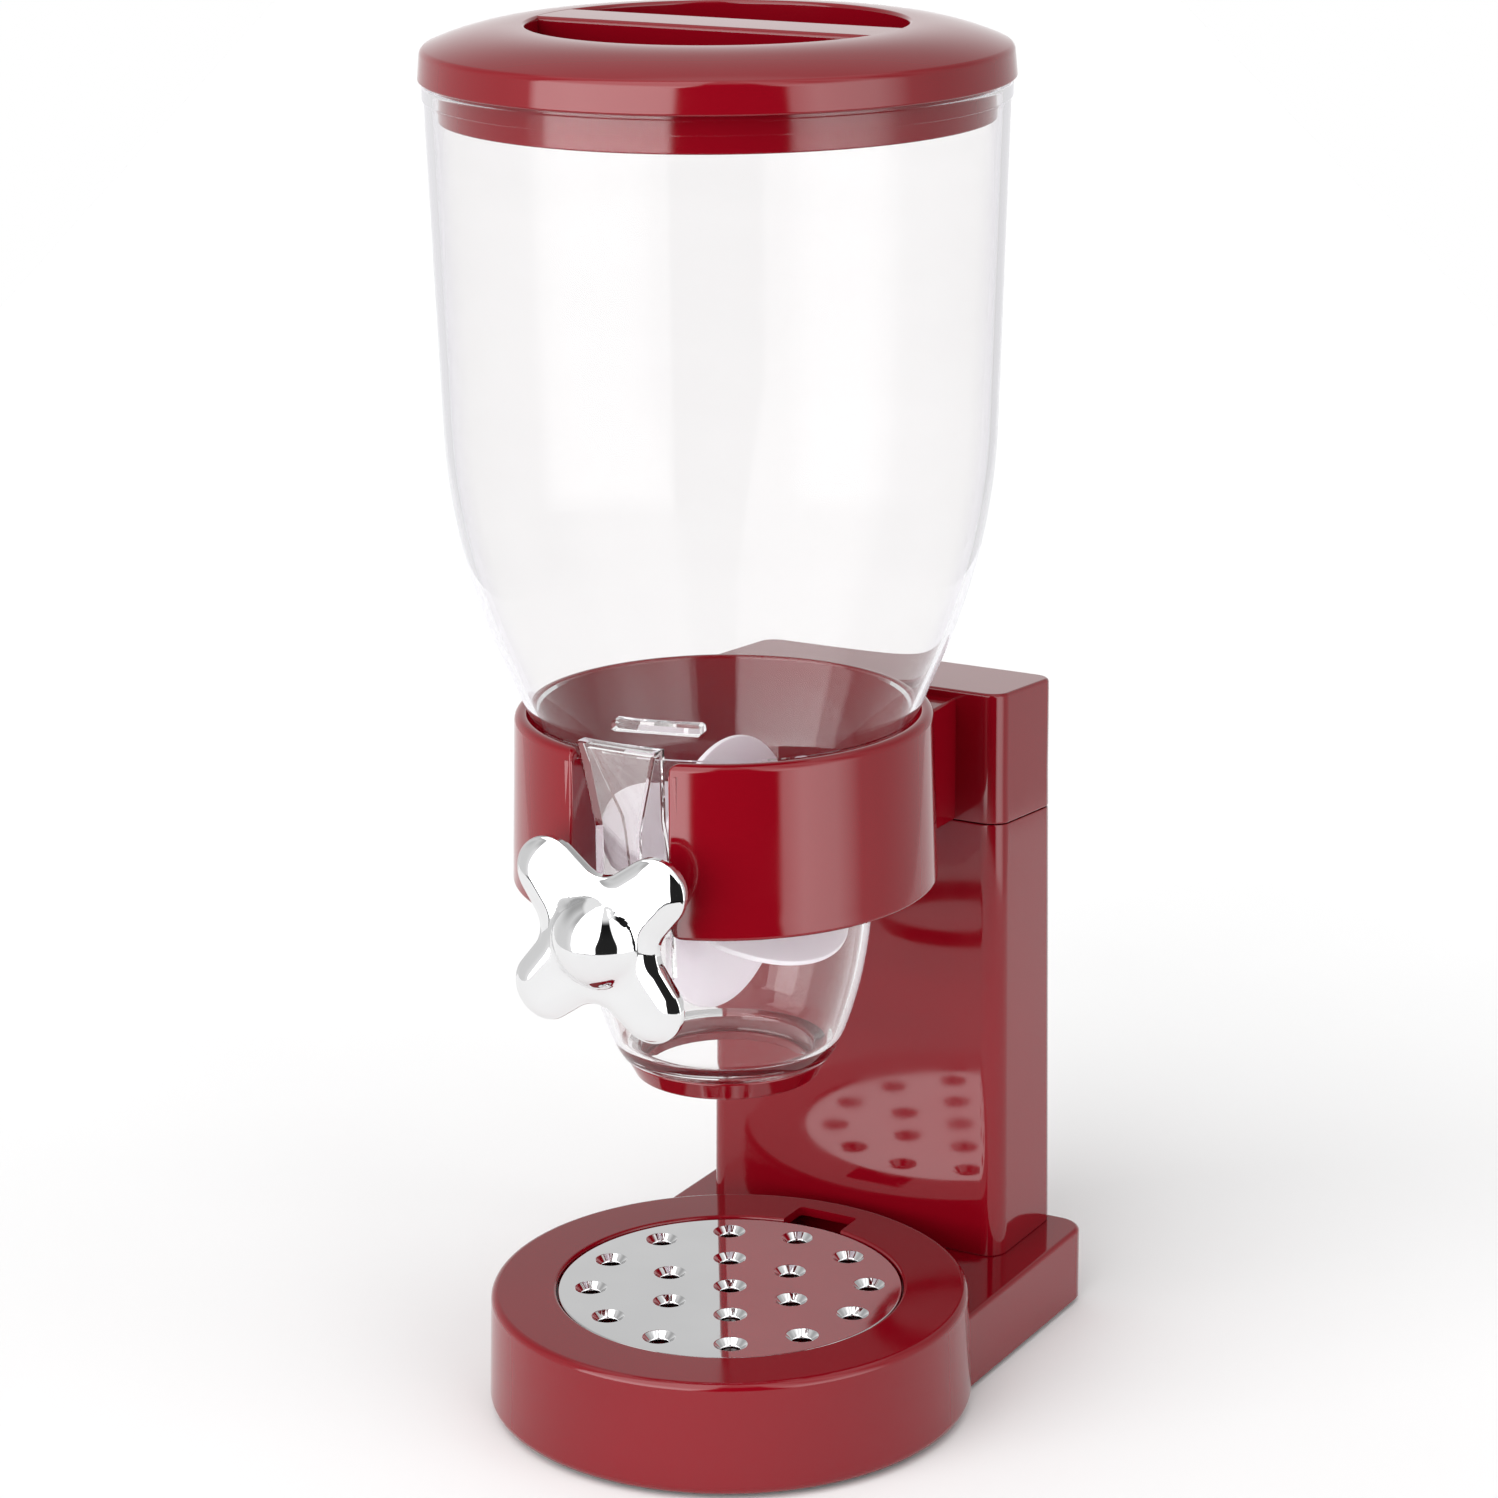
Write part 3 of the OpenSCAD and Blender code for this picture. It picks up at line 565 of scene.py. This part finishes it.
def make_tray():
    """A flat plate with countersunk holes. Its upper face is filled between the rim and the holes."""
    b = Build()
    bm = b.bm
    edge = 0.6
    centres = [(r * math.cos(2 * math.pi * i / n), r * math.sin(2 * math.pi * i / n))
               for r, n in HOLE_RINGS for i in range(n)]

    def wall(cx, cy, levels, n):
        rings = [b.ring(circle(cx, cy, r, z, n)) for r, z in levels]
        for p, q in zip(rings, rings[1:]):
            b.bridge(p, q)
        return rings[0], rings[-1]

    rim = arc(TRAY_R - edge, TRAY_TOP - edge, edge, 90, 0, 5)
    rim += arc(TRAY_R - 0.3, TRAY_LOW + 0.3, 0.3, 0, -90, 3)
    tops, bottoms = [], []
    top, bottom = wall(0, 0, rim, SEG)
    tops.append(top)
    bottoms.append(bottom)
    soft = 0.35
    for cx, cy in centres:
        levels = [(HOLE_TOP + soft * (1 - math.sin(a)), TRAY_TOP - soft * (1 - math.cos(a)))
                  for a in (math.radians(45 * k / 4) for k in range(5))]
        levels += [(HOLE_R + 0.15, TRAY_TOP - 1.55), (HOLE_R, TRAY_TOP - 1.8), (HOLE_R, TRAY_LOW)]
        top, bottom = wall(cx, cy, levels, 40)
        tops.append(top)
        bottoms.append(bottom)
    for loops in (tops, bottoms):
        edges = [e for loop in loops for v in loop for e in v.link_edges
                 if e.other_vert(v) in loop and len(e.link_faces) == 1]
        bmesh.ops.triangle_fill(bm, edges=list(dict.fromkeys(edges)), use_beauty=True)
    b.finish("drip_tray_plate", "tray", CHROME, ["drip_tray"], sharp=40)


# ---------------------------------------------------------------- hopper

LIP_Z = 369.5
HOPPER_R = 76.8
SEAT_R = 53.2
NECK_R, NECK_Z = 45.0, 184.0
BOWL_R, BOWL_Z, BOWL_LOW_R = 40.8, 104.5, 30.0
BOWL_B = (SHAFT_Z - BOWL_Z) / math.sqrt(1 - (BOWL_LOW_R / BOWL_R) ** 2)
SHOULDER_Z, SHOULDER_TOP_R, SHOULDER_R = 283.0, 74.1, 175.0
DRAFT = math.atan((HOPPER_R - SHOULDER_TOP_R) / (LIP_Z - SHOULDER_Z))
CONE = math.atan((SEAT_R - NECK_R) / (RING_TOP - NECK_Z))
RIM_TOP = height_of("canister")[1]
SPIGOT_OUT, SPIGOT_IN = 25.9, 24.1
HOUSING_FRONT = -56.6
HOUSING_LOW, HOUSING_KNEE, HOUSING_TOP = 138.0, 184.0, 206.5
HOUSING_WIDE, HOUSING_MID, HOUSING_FOOT = 12.0, 7.0, 6.6
HOUSING_WALL = 1.9
SLEEVE_R, SLEEVE_BORE = 6.6, 4.65
LUG_TURN, LUG_HALF, LUG_FRONT = 13.0, 12.0, -60.7
LUG_LOW, LUG_TOP = 212.2, 215.4


def hopper_wall():
    """The hopper's outer face from the bowl's foot to the lip, as (r, z)."""
    pts = []
    for i in range(19):
        z = BOWL_Z + (SHAFT_Z - 6 - BOWL_Z) * i / 18
        pts.append((BOWL_R * math.sqrt(1 - ((SHAFT_Z - z) / BOWL_B) ** 2), z))
    pts += [(BOWL_R + 0.2, SHAFT_Z + 5), (BOWL_R + 0.7, SHAFT_Z + 13)]
    pts += [(NECK_R - 1.5, NECK_Z - 5), (NECK_R, NECK_Z)]
    pts.append((SEAT_R, RING_TOP))
    cx = SHOULDER_TOP_R - SHOULDER_R * math.cos(DRAFT)
    cz = SHOULDER_Z + SHOULDER_R * math.sin(DRAFT)
    for i in range(31):
        a = CONE + (DRAFT - CONE) * i / 30
        pts.append((cx + SHOULDER_R * math.cos(a), cz - SHOULDER_R * math.sin(a)))
    for i in range(1, 8):
        t = i / 8
        pts.append((SHOULDER_TOP_R + (HOPPER_R - SHOULDER_TOP_R) * t, SHOULDER_Z + (LIP_Z - SHOULDER_Z) * t))
    pts.append((HOPPER_R - 0.02, LIP_Z - 0.6))
    return pts


def wall_radius(z):
    """Outer radius of the hopper at a height."""
    pts = hopper_wall()
    for (r0, z0), (r1, z1) in zip(pts, pts[1:]):
        if z0 <= z <= z1:
            return r0 + (r1 - r0) * (z - z0) / (z1 - z0)
    return pts[-1][0]


def make_hopper_shell():
    b = Build()
    outer = hopper_wall()
    bead = HOPPER_R + 0.5
    profile = outer[1:]
    profile += arc(bead - 0.6, LIP_Z + 0.6, 0.6, -70, 0, 4) + arc(bead - 0.6, LIP_Z + 3.4, 0.6, 0, 90, 4)
    rim = HOPPER_R - 0.9
    profile += [(rim, LIP_Z + 4.0)] + arc(rim - 0.5, RIM_TOP - 0.5, 0.5, 0, 90, 3)
    inner_top = HOPPER_R - CLEAR_WALL
    profile += arc(inner_top + 0.4, RIM_TOP - 0.4, 0.4, 90, 180, 3)
    profile += [(r - CLEAR_WALL, z) for r, z in reversed(outer[2:])]
    profile += [(BOWL_LOW_R - 1.0, BOWL_Z + 4.6), (SPIGOT_IN + 2.2, BOWL_Z + 2.4),
                (SPIGOT_IN + 0.6, BOWL_Z + 2.0), (SPIGOT_IN, BOWL_Z + 1.2), (SPIGOT_IN, BOWL_Z - 3.4),
                (SPIGOT_OUT, BOWL_Z - 3.4), (SPIGOT_OUT, BOWL_Z),
                (BOWL_LOW_R - 0.7, BOWL_Z), (BOWL_LOW_R - 0.15, BOWL_Z + 0.25)]
    b.revolve(profile, closed=True, seg=192)
    shell = b.finish("hopper_shell", "hopper", CLEAR, ["canister"], sharp=50)
    # The wall above the ring has the material with the lower index, which reflects less.
    shell.data.materials.append(CLEAR_THIN)
    for face in shell.data.polygons:
        face.material_index = int(face.center.z - SHELL_Z > RING_TOP * MM)


def housing_outline(inset):
    """The front housing's outline in (x, z): wide at the top, narrow down to its open foot."""
    half = [(HOUSING_FOOT - inset, HOUSING_LOW), (HOUSING_MID - inset, SHAFT_Z),
            (HOUSING_MID - inset, HOUSING_KNEE - inset * 0.3),
            (HOUSING_WIDE - inset * 1.2, HOUSING_TOP - inset)]
    return half + [(-x, z) for x, z in reversed(half)]


def in_wall(x, z):
    """The y of the middle of the hopper's front wall at x and z."""
    r = wall_radius(z) - CLEAR_WALL * 0.5
    return -math.sqrt(max(r * r - x * x, 1.0))


def make_hopper_housing():
    # A narrowing hollow prism in the ring's slot, open at its foot.
    b = Build()
    outer = housing_outline(0.0)
    inner = housing_outline(HOUSING_WALL)
    f_edge = b.ring((x, HOUSING_FRONT, z) for x, z in housing_outline(0.35))
    f_side = b.ring((x, HOUSING_FRONT + 0.35, z) for x, z in outer)
    side_back = b.ring((x, in_wall(x, z), z) for x, z in outer)
    inner_back = b.ring((x, in_wall(x, z), z) for x, z in inner)
    inner_front = b.ring((x, HOUSING_FRONT + HOUSING_WALL, z) for x, z in inner)
    b.cap(f_edge)
    b.bridge(f_edge, f_side)
    b.bridge(f_side, side_back)
    b.bridge(side_back, inner_back)
    b.bridge(inner_back, inner_front)
    b.cap(inner_front)
    # Sleeves for the bushes, in front and behind.
    for y0, y1 in ((HOUSING_FRONT + 1.7, -39.6), (39.6, 48.0)):
        sides = ((SLEEVE_R, y0), (SLEEVE_R, y1), (SLEEVE_BORE, y1), (SLEEVE_BORE, y0))
        rings = [b.ring(shaft_circle(r, y, 64)) for r, y in sides]
        for p, q in zip(rings, rings[1:] + rings[:1]):
            b.bridge(p, q)
    # End wall of the rear sleeve.
    b.loft([shaft_circle(4.6, y, 64) for y in (46.2, 47.9)])
    # Lug: a low clear bar on the cone, above the ring and a little to one side.
    turn = Matrix.Rotation(math.radians(LUG_TURN), 3, "Z")
    lug_loops = []
    for inset, z in ((0.7, LUG_LOW), (0.0, LUG_LOW + 0.7), (0.0, LUG_TOP - 0.7), (0.7, LUG_TOP)):
        hw = LUG_HALF - inset
        loop = [(-hw, LUG_FRONT + inset, z), (hw, LUG_FRONT + inset, z)]
        loop += [(x, in_wall(x, z), z) for x in (hw, hw / 2, 0.0, -hw / 2, -hw)]
        lug_loops.append([turn @ Vector(p) for p in loop])
    b.loft(lug_loops)
    b.finish("hopper_housing", "hopper", CLEAR, ["canister"], sharp=20, weighted=False)


def make_outlet():
    b = Build()
    low, top = height_of("outlet_ring")
    bore, spigot = 22.5, 26.0
    r_top, r_low = 28.7, 26.2
    profile = arc(r_low - 1.0, low + 1.0, 1.0, -90, -10, 5) + arc(r_top - 0.7, top - 0.7, 0.7, 0, 90, 4)
    profile += [(spigot, top), (spigot, top - 3.45), *arc(bore + 0.5, top - 3.95, 0.5, 90, 180, 3),
                *arc(bore + 0.5, low + 0.5, 0.5, 180, 270, 3)]
    b.revolve(profile, closed=True)
    b.finish("outlet_collar", "hopper", RED, ["outlet_ring"])


# ---------------------------------------------------------------- lid

LID_R = half_width("lid_cover")
LID_LOW = 374.5
LID_TOP = height_of("lid_cover")[1]
GRIP_R, GRIP_DEPTH, GRIP_HALF = 50.0, 13.0, 9.6


def make_lid():
    b = Build()
    plug_r, plug_t, plug_low = 73.1, 2.0, height_of("lid_cover")[0]
    seat = 379.3
    edge_z = 381.2
    skirt_bore, skirt_low_bore = 76.1, 76.8
    profile = arc(LID_R - 0.7, LID_LOW + 0.7, 0.7, -90, 0, 5)
    profile += arc(LID_R - 0.6 - 2.2, edge_z, 2.2, 4, 62, 7)
    start_r, start_z = profile[-1]
    for i in range(1, 15):
        t = 1 - i / 15
        r = GRIP_R + 1.5 + (start_r - GRIP_R - 1.5) * t
        profile.append((r, start_z + (LID_TOP - start_z) * (1 - t ** 2.05)))
    profile += arc(GRIP_R + 1.0, LID_TOP - 1.0, 1.0, 88, 180, 6)
    floor = LID_TOP - GRIP_DEPTH
    profile += arc(GRIP_R - 1.8, floor + 1.4, 1.4, 0, -90, 5) + [(0, floor), (0, floor - 2.2)]
    profile += [(GRIP_R + 2.0, floor - 2.2), (GRIP_R + 2.2, LID_TOP - 3.2), (GRIP_R + 7, LID_TOP - 2.6),
                (plug_r - plug_t - 1, LID_TOP - 4.8), (plug_r - plug_t, LID_LOW + 5)]
    profile += arc(plug_r - plug_t + 0.5, plug_low + 0.5, 0.5, 180, 270, 3)
    profile += arc(plug_r - 0.5, plug_low + 0.5, 0.5, -90, 0, 3)
    profile += [(plug_r, seat), (skirt_bore, seat), (skirt_bore, 378.0), (skirt_low_bore, LID_LOW + 0.4)]
    b.revolve(profile, closed=True, seg=192)
    # Grip bar across the recess, level with the rim.
    half_l = GRIP_R + 0.6
    r = 1.3
    loops = []
    edge = [(r - dx, LID_TOP - 0.06 - r + dz) for dx, dz in arc(0, 0, r, 0, 90, 6)]
    for inset, z in [(0.0, floor - 0.3)] + edge:
        hw = GRIP_HALF - inset
        loops.append([(-half_l, -hw, z), (half_l, -hw, z), (half_l, hw, z), (-half_l, hw, z)])
    b.loft(loops)
    b.finish("lid_shell", "lid", RED, ["lid_cover"])


# ---------------------------------------------------------------- knob

LOBE_OFF, LOBE_R = 16.1, 9.5
VALLEY_OFF, VALLEY_R = 17.9, 8.0
KNOB_BACK, KNOB_FRONT = 63.1, 70.0
KNOB_TURN = -2.5
DOME_R, DOME_BLEND, DOME_FOOT = 12.6, 0.7, 11.4
EDGE_W, EDGE_DROP, EDGE_POWER, EDGE_ROUND = 6.0, 2.4, 2.4, 0.5
CROWN = 0.8
ARC_STEPS, VALLEY_STEPS, FLANK_STEPS = 40, 20, 10
DOME_STEPS = (0.04, 0.1, 0.2, 0.3, 0.4, 0.5, 0.6, 0.68, 0.76, 0.83, 0.89, 0.95)
BLEND_STEPS, EDGE_STEPS = 8, 14
# Inset and distance from the knob's back, down its side and into its hollow back.
KNOB_SIDE = (
    (0.0, 2.4), (0.1, 2.2), (0.9, 2.1), (1.0, 1.9), (1.0, 0.4),
    (1.4, 0.0), (2.4, 0.0), (2.6, 0.3), (2.6, 3.2),
)
SOCKET = ((5.4, 5.0), (5.4, 0.5), (3.1, 0.5), (3.1, 5.0))


def knob_outline(inset):
    """The four-lobed outline in (x, z), moved inwards: lobe arcs, flanks and valley arcs, all tangent."""
    lobe = Vector((LOBE_OFF * math.sqrt(2), 0))
    valley = Vector((1, 1)).normalized() * (VALLEY_OFF + VALLEY_R)
    between = valley - lobe
    a_lobe = math.atan2(between.y, between.x) - math.acos((LOBE_R + VALLEY_R) / between.length)
    a_valley, a_middle = a_lobe + math.pi, 1.25 * math.pi
    quarter = []
    for i in range(ARC_STEPS + 1):
        a = -a_lobe + 2 * a_lobe * i / ARC_STEPS
        quarter.append(lobe + Vector((math.cos(a), math.sin(a))) * (LOBE_R - inset))
    dip = []
    for i in range(VALLEY_STEPS + 1):
        a = a_valley + 2 * (a_middle - a_valley) * i / VALLEY_STEPS
        dip.append(valley + Vector((math.cos(a), math.sin(a))) * (VALLEY_R + inset))
    flank = [quarter[-1].lerp(dip[0], i / FLANK_STEPS) for i in range(1, FLANK_STEPS)]
    mirror = [Vector((p.y, p.x)) for p in reversed(flank)]
    pts = []
    for k in range(4):
        turn = Matrix.Rotation(math.radians(45 + 90 * k + KNOB_TURN), 2)
        pts += [turn @ p for p in quarter + flank + dip + mirror]
    return pts


def make_knob():
    b = Build()
    reach = LOBE_OFF * math.sqrt(2) + LOBE_R
    dome_h = -reach_of("knob")[0] - KNOB_FRONT - 0.06
    ball = (DOME_R ** 2 + dome_h ** 2) / (2 * dome_h)

    def face(p, inset=EDGE_W):
        """How far the front stands out at p: arms that fall away at their edges, and a round dome."""
        d = p.length
        arm = -CROWN * (d / reach) ** 2 - EDGE_DROP * (1 - inset / EDGE_W) ** EDGE_POWER
        cap = math.sqrt(max(ball ** 2 - d * d, 0.0)) - (ball - dome_h)
        return KNOB_FRONT + (cap + arm + math.hypot(cap - arm, DOME_BLEND)) / 2

    def loop(pts, out_of):
        return b.ring((p.x, -out_of(p), SHAFT_Z + p.y) for p in pts)

    # Dome, from its top to its foot.
    lobed = knob_outline(EDGE_W)
    foot = [p.normalized() * DOME_FOOT for p in lobed]
    rings = [loop([p * s for p in foot], face) for s in DOME_STEPS]
    centre = b.bm.verts.new(Vector((0, -face(Vector((0, 0))), SHAFT_Z)) * MM)
    for i in range(len(foot)):
        b.bm.faces.new([centre, rings[0][i], rings[0][(i + 1) % len(foot)]])
    # From the dome's foot out over the arms to their edges.
    for i in range(BLEND_STEPS + 1):
        rings.append(loop([p.lerp(q, i / BLEND_STEPS) for p, q in zip(foot, lobed)], face))
    for i in reversed(range(EDGE_STEPS)):
        inset = EDGE_ROUND + (EDGE_W - EDGE_ROUND) * i / EDGE_STEPS
        rings.append(loop(knob_outline(inset), lambda p, d=inset: face(p, d)))
    for k in range(1, 5):
        a = math.pi / 2 * k / 4
        inset = EDGE_ROUND * (1 - math.sin(a))
        drop = EDGE_ROUND * (1 - math.cos(a))
        rings.append(loop(knob_outline(inset), lambda p, drop=drop: face(p, EDGE_ROUND) - drop))
    # Side wall, a fine step near the back, and a hollow back.
    for inset, y in KNOB_SIDE:
        rings.append(loop(knob_outline(inset), lambda p, y=y: KNOB_BACK + y))
    for p, q in zip(rings, rings[1:]):
        b.bridge(p, q)
    b.cap(rings[-1])
    # Socket for the shaft behind the dome.
    tube = [b.ring(shaft_circle(r, -KNOB_BACK - y, 48)) for r, y in SOCKET]
    for p, q in zip(tube, tube[1:] + tube[:1]):
        b.bridge(p, q)
    b.finish("knob_shell", "rotor", CHROME, ["knob"], sharp=50)


# ---------------------------------------------------------------- paddles

PADDLE_R, PADDLE_ROOT, PADDLE_HALF_T = 37.9, 4.7, 0.9
PADDLE_HALF, RELIEF_R = 33.0, 9.6
PADDLE_CENTRE = (20.0, 0.0)


def make_paddles():
    for k in range(6):
        b = Build()
        start = math.degrees(math.asin(PADDLE_HALF / PADDLE_R))
        outline = arc(0, 0, PADDLE_R, -start, start, 64)
        foot = [(RELIEF_R, PADDLE_HALF), (RELIEF_R, 31.0), (8.1, 30.4), (PADDLE_ROOT, 30.4)]
        outline += foot + [(u, -v) for u, v in reversed(foot)]
        turn = math.radians(90 + 60 * k)

        def place(points, off, inset):
            out = []
            for u, v in points:
                du, dv = PADDLE_CENTRE[0] - u, PADDLE_CENTRE[1] - v
                length = math.hypot(du, dv)
                u2, v2 = u + du / length * inset, v + dv / length * inset
                x = u2 * math.cos(turn) - off * math.sin(turn)
                z = u2 * math.sin(turn) + off * math.cos(turn)
                out.append((x, v2, SHAFT_Z + z))
            return out

        half = PADDLE_HALF_T
        edge = ((half, 0.6), (half - 0.18, 0.18), (half - 0.5, 0.0))
        steps = [(-off, inset) for off, inset in edge] + list(reversed(edge))
        b.loft([place(outline, off, inset) for off, inset in steps])
        b.finish(f"paddle_blade_{k + 1}", "rotor", SILICONE, [f"paddle_{k + 1}"])


# ---------------------------------------------------------------- CAD nodes that stay

STAYING = {
    "base_feet": RUBBER, "column_screws": SCREW_STEEL, "bracket_screws": SCREW_STEEL,
    "front_bearing": BUSH, "rear_bearing": BUSH, "lid_seal": SEAL, "knob_washer": SCREW_STEEL,
    "shaft": SHAFT_STEEL, "shaft_clip": SCREW_STEEL, "rotor_hub": SILICONE,
}


def dress_cad_nodes():
    for node, material in STAYING.items():
        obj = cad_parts[node]
        obj.data.materials.clear()
        obj.data.materials.append(material)
        bevel = obj.modifiers.new("edge", "BEVEL")
        bevel.width = 0.00025
        bevel.segments = 2
        bevel.limit_method = "ANGLE"
        bevel.angle_limit = math.radians(40)


def clear_parts_let_light_through():
    """The clear hopper casts no shadow, and diffuse and mirror rays pass through it."""
    for name in ("hopper_shell", "hopper_housing"):
        obj = bpy.data.objects[name]
        obj.visible_shadow = False
        obj.visible_diffuse = False
        obj.visible_glossy = False


# ---------------------------------------------------------------- camera, floor and light

CAMERA_AZIMUTH = 30.0
CAMERA_DISTANCE = 1.1005
CAMERA_HEIGHT = 0.5152
CAMERA_TILT, CAMERA_YAW, CAMERA_ROLL = 16.41, 0.35, -0.49
CAMERA_LENS = 100.8


def make_camera():
    az = math.radians(CAMERA_AZIMUTH)
    place = ORIGIN + Vector((math.sin(az) * CAMERA_DISTANCE, -math.cos(az) * CAMERA_DISTANCE, CAMERA_HEIGHT))
    data = bpy.data.cameras.new("camera")
    data.lens = CAMERA_LENS
    data.sensor_width = 36.0
    cam = bpy.data.objects.new("camera", data)
    bpy.context.scene.collection.objects.link(cam)
    turn = Matrix.Rotation(az - math.radians(CAMERA_YAW), 4, "Z")
    tilt = Matrix.Rotation(math.radians(90 - CAMERA_TILT), 4, "X")
    roll = Matrix.Rotation(math.radians(CAMERA_ROLL), 4, "Z")
    cam.matrix_world = Matrix.Translation(place) @ turn @ tilt @ roll
    bpy.context.scene.camera = cam
    return cam


# Brightness the studio shows to a mirror at each azimuth from the camera's own, in degrees: a dark gap behind
# the camera, a tall softbox on each side of it, and a pale room behind the object.
STUDIO = (
    (-180, 1.00), (-150, 0.85), (-120, 0.72), (-90, 0.74), (-76, 0.9), (-72, 4.6), (-55, 5.2), (-20, 4.6),
    (-18, 0.02), (28, 0.02), (31, 2.4), (42, 3.6), (62, 3.0), (70, 2.0), (78, 0.85), (92, 0.72), (130, 0.70),
    (150, 0.8), (180, 1.00),
)
# Two heights over the horizon in degrees, and what comes in between them: a change in brightness, the
# ceiling's own level, or how far the gap narrows. The boxes' foot counts downwards.
WALL_FADE = (3, 32, -0.42)
BOX_FADE = (8, 36, -0.45)
BOX_FOOT = (-20.0, -19.2, -0.97)
CEILING = (42, 58, 0.95)
GAP_LEAN = (-10, 45, 1.0)
GAP_NEAR, GAP_FAR = 28, 60
GAP_MIDDLE = 5.0


def make_world(scene):
    """Studio surroundings by direction: bands round the horizon, a soft ceiling, a fading wall behind."""
    world = bpy.data.worlds.new("studio")
    scene.world = world
    world.use_nodes = True
    tree = world.node_tree
    new, link = tree.nodes.new, tree.links.new

    def math_node(operation, a, b=None):
        node = new("ShaderNodeMath")
        node.operation = operation
        for socket, value in zip(node.inputs, (a, b)):
            if value is None:
                continue
            if isinstance(value, (int, float)):
                socket.default_value = value
            else:
                link(value, socket)
        return node.outputs[0]

    def smooth(value, start, end, low=0.0, high=1.0):
        node = new("ShaderNodeMapRange")
        node.interpolation_type = "SMOOTHSTEP"
        link(value, node.inputs["Value"])
        for name, v in (("From Min", start), ("From Max", end), ("To Min", low), ("To Max", high)):
            node.inputs[name].default_value = v
        return node.outputs["Result"]

    def over_height(change):
        start, end, amount = change
        return smooth(height, math.radians(start), math.radians(end), 0.0, amount)

    def scaled(value, change):
        """The value times 1 plus the change."""
        return math_node("MULTIPLY", value, math_node("ADD", change, 1.0))

    coord = new("ShaderNodeTexCoord")
    parts = new("ShaderNodeSeparateXYZ")
    link(coord.outputs["Generated"], parts.inputs[0])
    x, y, z = parts.outputs
    turn = math_node("ARCTAN2", x, math_node("MULTIPLY", y, -1.0))
    turn = math_node("SUBTRACT", turn, math.radians(CAMERA_AZIMUTH))
    turn = math_node("DIVIDE", turn, 2 * math.pi)
    turn = math_node("FRACT", math_node("ADD", turn, 1.5))
    height = math_node("ARCSINE", z)

    # The two boxes lean together with height, so the gap between them narrows.
    middle = 0.5 + GAP_MIDDLE / 360
    side = math_node("SUBTRACT", turn, middle)
    near = smooth(math_node("ABSOLUTE", side), GAP_NEAR / 360, GAP_FAR / 360, 1.0, 0.0)
    lean = math_node("MULTIPLY", over_height(GAP_LEAN), near)
    leant = math_node("ADD", middle, math_node("MULTIPLY", side, math_node("ADD", lean, 1.0)))

    bands = new("ShaderNodeValToRGB")
    link(leant, bands.inputs[0])
    ramp = bands.color_ramp
    while len(ramp.elements) < len(STUDIO):
        ramp.elements.new(0.5)
    top = max(value for angle, value in STUDIO)
    for element, (angle, value) in zip(ramp.elements, STUDIO):
        element.position = (angle + 180) / 360
        element.color = (value / top,) * 3 + (1.0,)
    level = math_node("MULTIPLY", bands.outputs[0], top)

    # The wall behind the object fades with height.
    front = math_node("COSINE", math_node("MULTIPLY", math_node("SUBTRACT", turn, 0.5), 2 * math.pi))
    behind = smooth(front, 0.0, -0.5)
    level = scaled(level, math_node("MULTIPLY", behind, over_height(WALL_FADE)))

    # In front, the boxes fade towards the ceiling, and stop a little above the table's edge.
    ahead = smooth(front, -0.1, 0.2)
    level = scaled(level, math_node("MULTIPLY", over_height(BOX_FADE), ahead))
    start, end, dark = BOX_FOOT
    foot = smooth(height, math.radians(start), math.radians(end), dark, 0.0)
    level = scaled(level, math_node("MULTIPLY", foot, ahead))

    # A soft ceiling all round closes the dark gap overhead.
    level = math_node("MAXIMUM", level, over_height(CEILING))

    # The background itself is plain white, also where it is seen through the clear parts.
    path = new("ShaderNodeLightPath")
    seen = math_node("MAXIMUM", path.outputs["Is Camera Ray"], path.outputs["Is Transmission Ray"])
    level = math_node("ADD", math_node("MULTIPLY", level, math_node("SUBTRACT", 1.0, seen)), seen)
    back = tree.nodes["Background"]
    back.inputs["Color"].default_value = (1.0, 1.0, 1.0, 1.0)
    link(level, back.inputs["Strength"])


TABLE_R, TABLE_BACK = 0.50, 6.0


def make_stage():
    scene = bpy.context.scene
    az = math.radians(CAMERA_AZIMUTH)
    ahead, side = Vector((math.sin(az), -math.cos(az), 0)), Vector((math.cos(az), math.sin(az), 0))
    bm = bmesh.new()
    corners = [side * TABLE_R - ahead * TABLE_BACK, -side * TABLE_R - ahead * TABLE_BACK]
    for x, y in arc(0, 0, TABLE_R, 180, 0, 64):
        corners.append(side * x + ahead * y)
    bm.faces.new([bm.verts.new(c) for c in corners])
    mesh = bpy.data.meshes.new("floor")
    bm.to_mesh(mesh)
    bm.free()
    floor = bpy.data.objects.new("floor", mesh)
    scene.collection.objects.link(floor)
    m = Nodes("floor_paint")
    m.link(m.mix(m.remap(m.noise(3.0, 3.0), 0.0, 1.0), (0.83, 0.83, 0.83), (0.85, 0.85, 0.85)), "Base Color")
    m.set(Roughness=0.9)
    m.bsdf.inputs["Specular IOR Level"].default_value = 0.1
    mesh.materials.append(m.mat)

    make_world(scene)

    scene.view_settings.view_transform = "Standard"
    scene.view_settings.look = "None"


make_camera()
make_base()
make_column()
make_bracket()
make_tray()
make_hopper_shell()
make_hopper_housing()
make_outlet()
make_lid()
make_knob()
make_paddles()
dress_cad_nodes()
make_stage()
clear_parts_let_light_through()
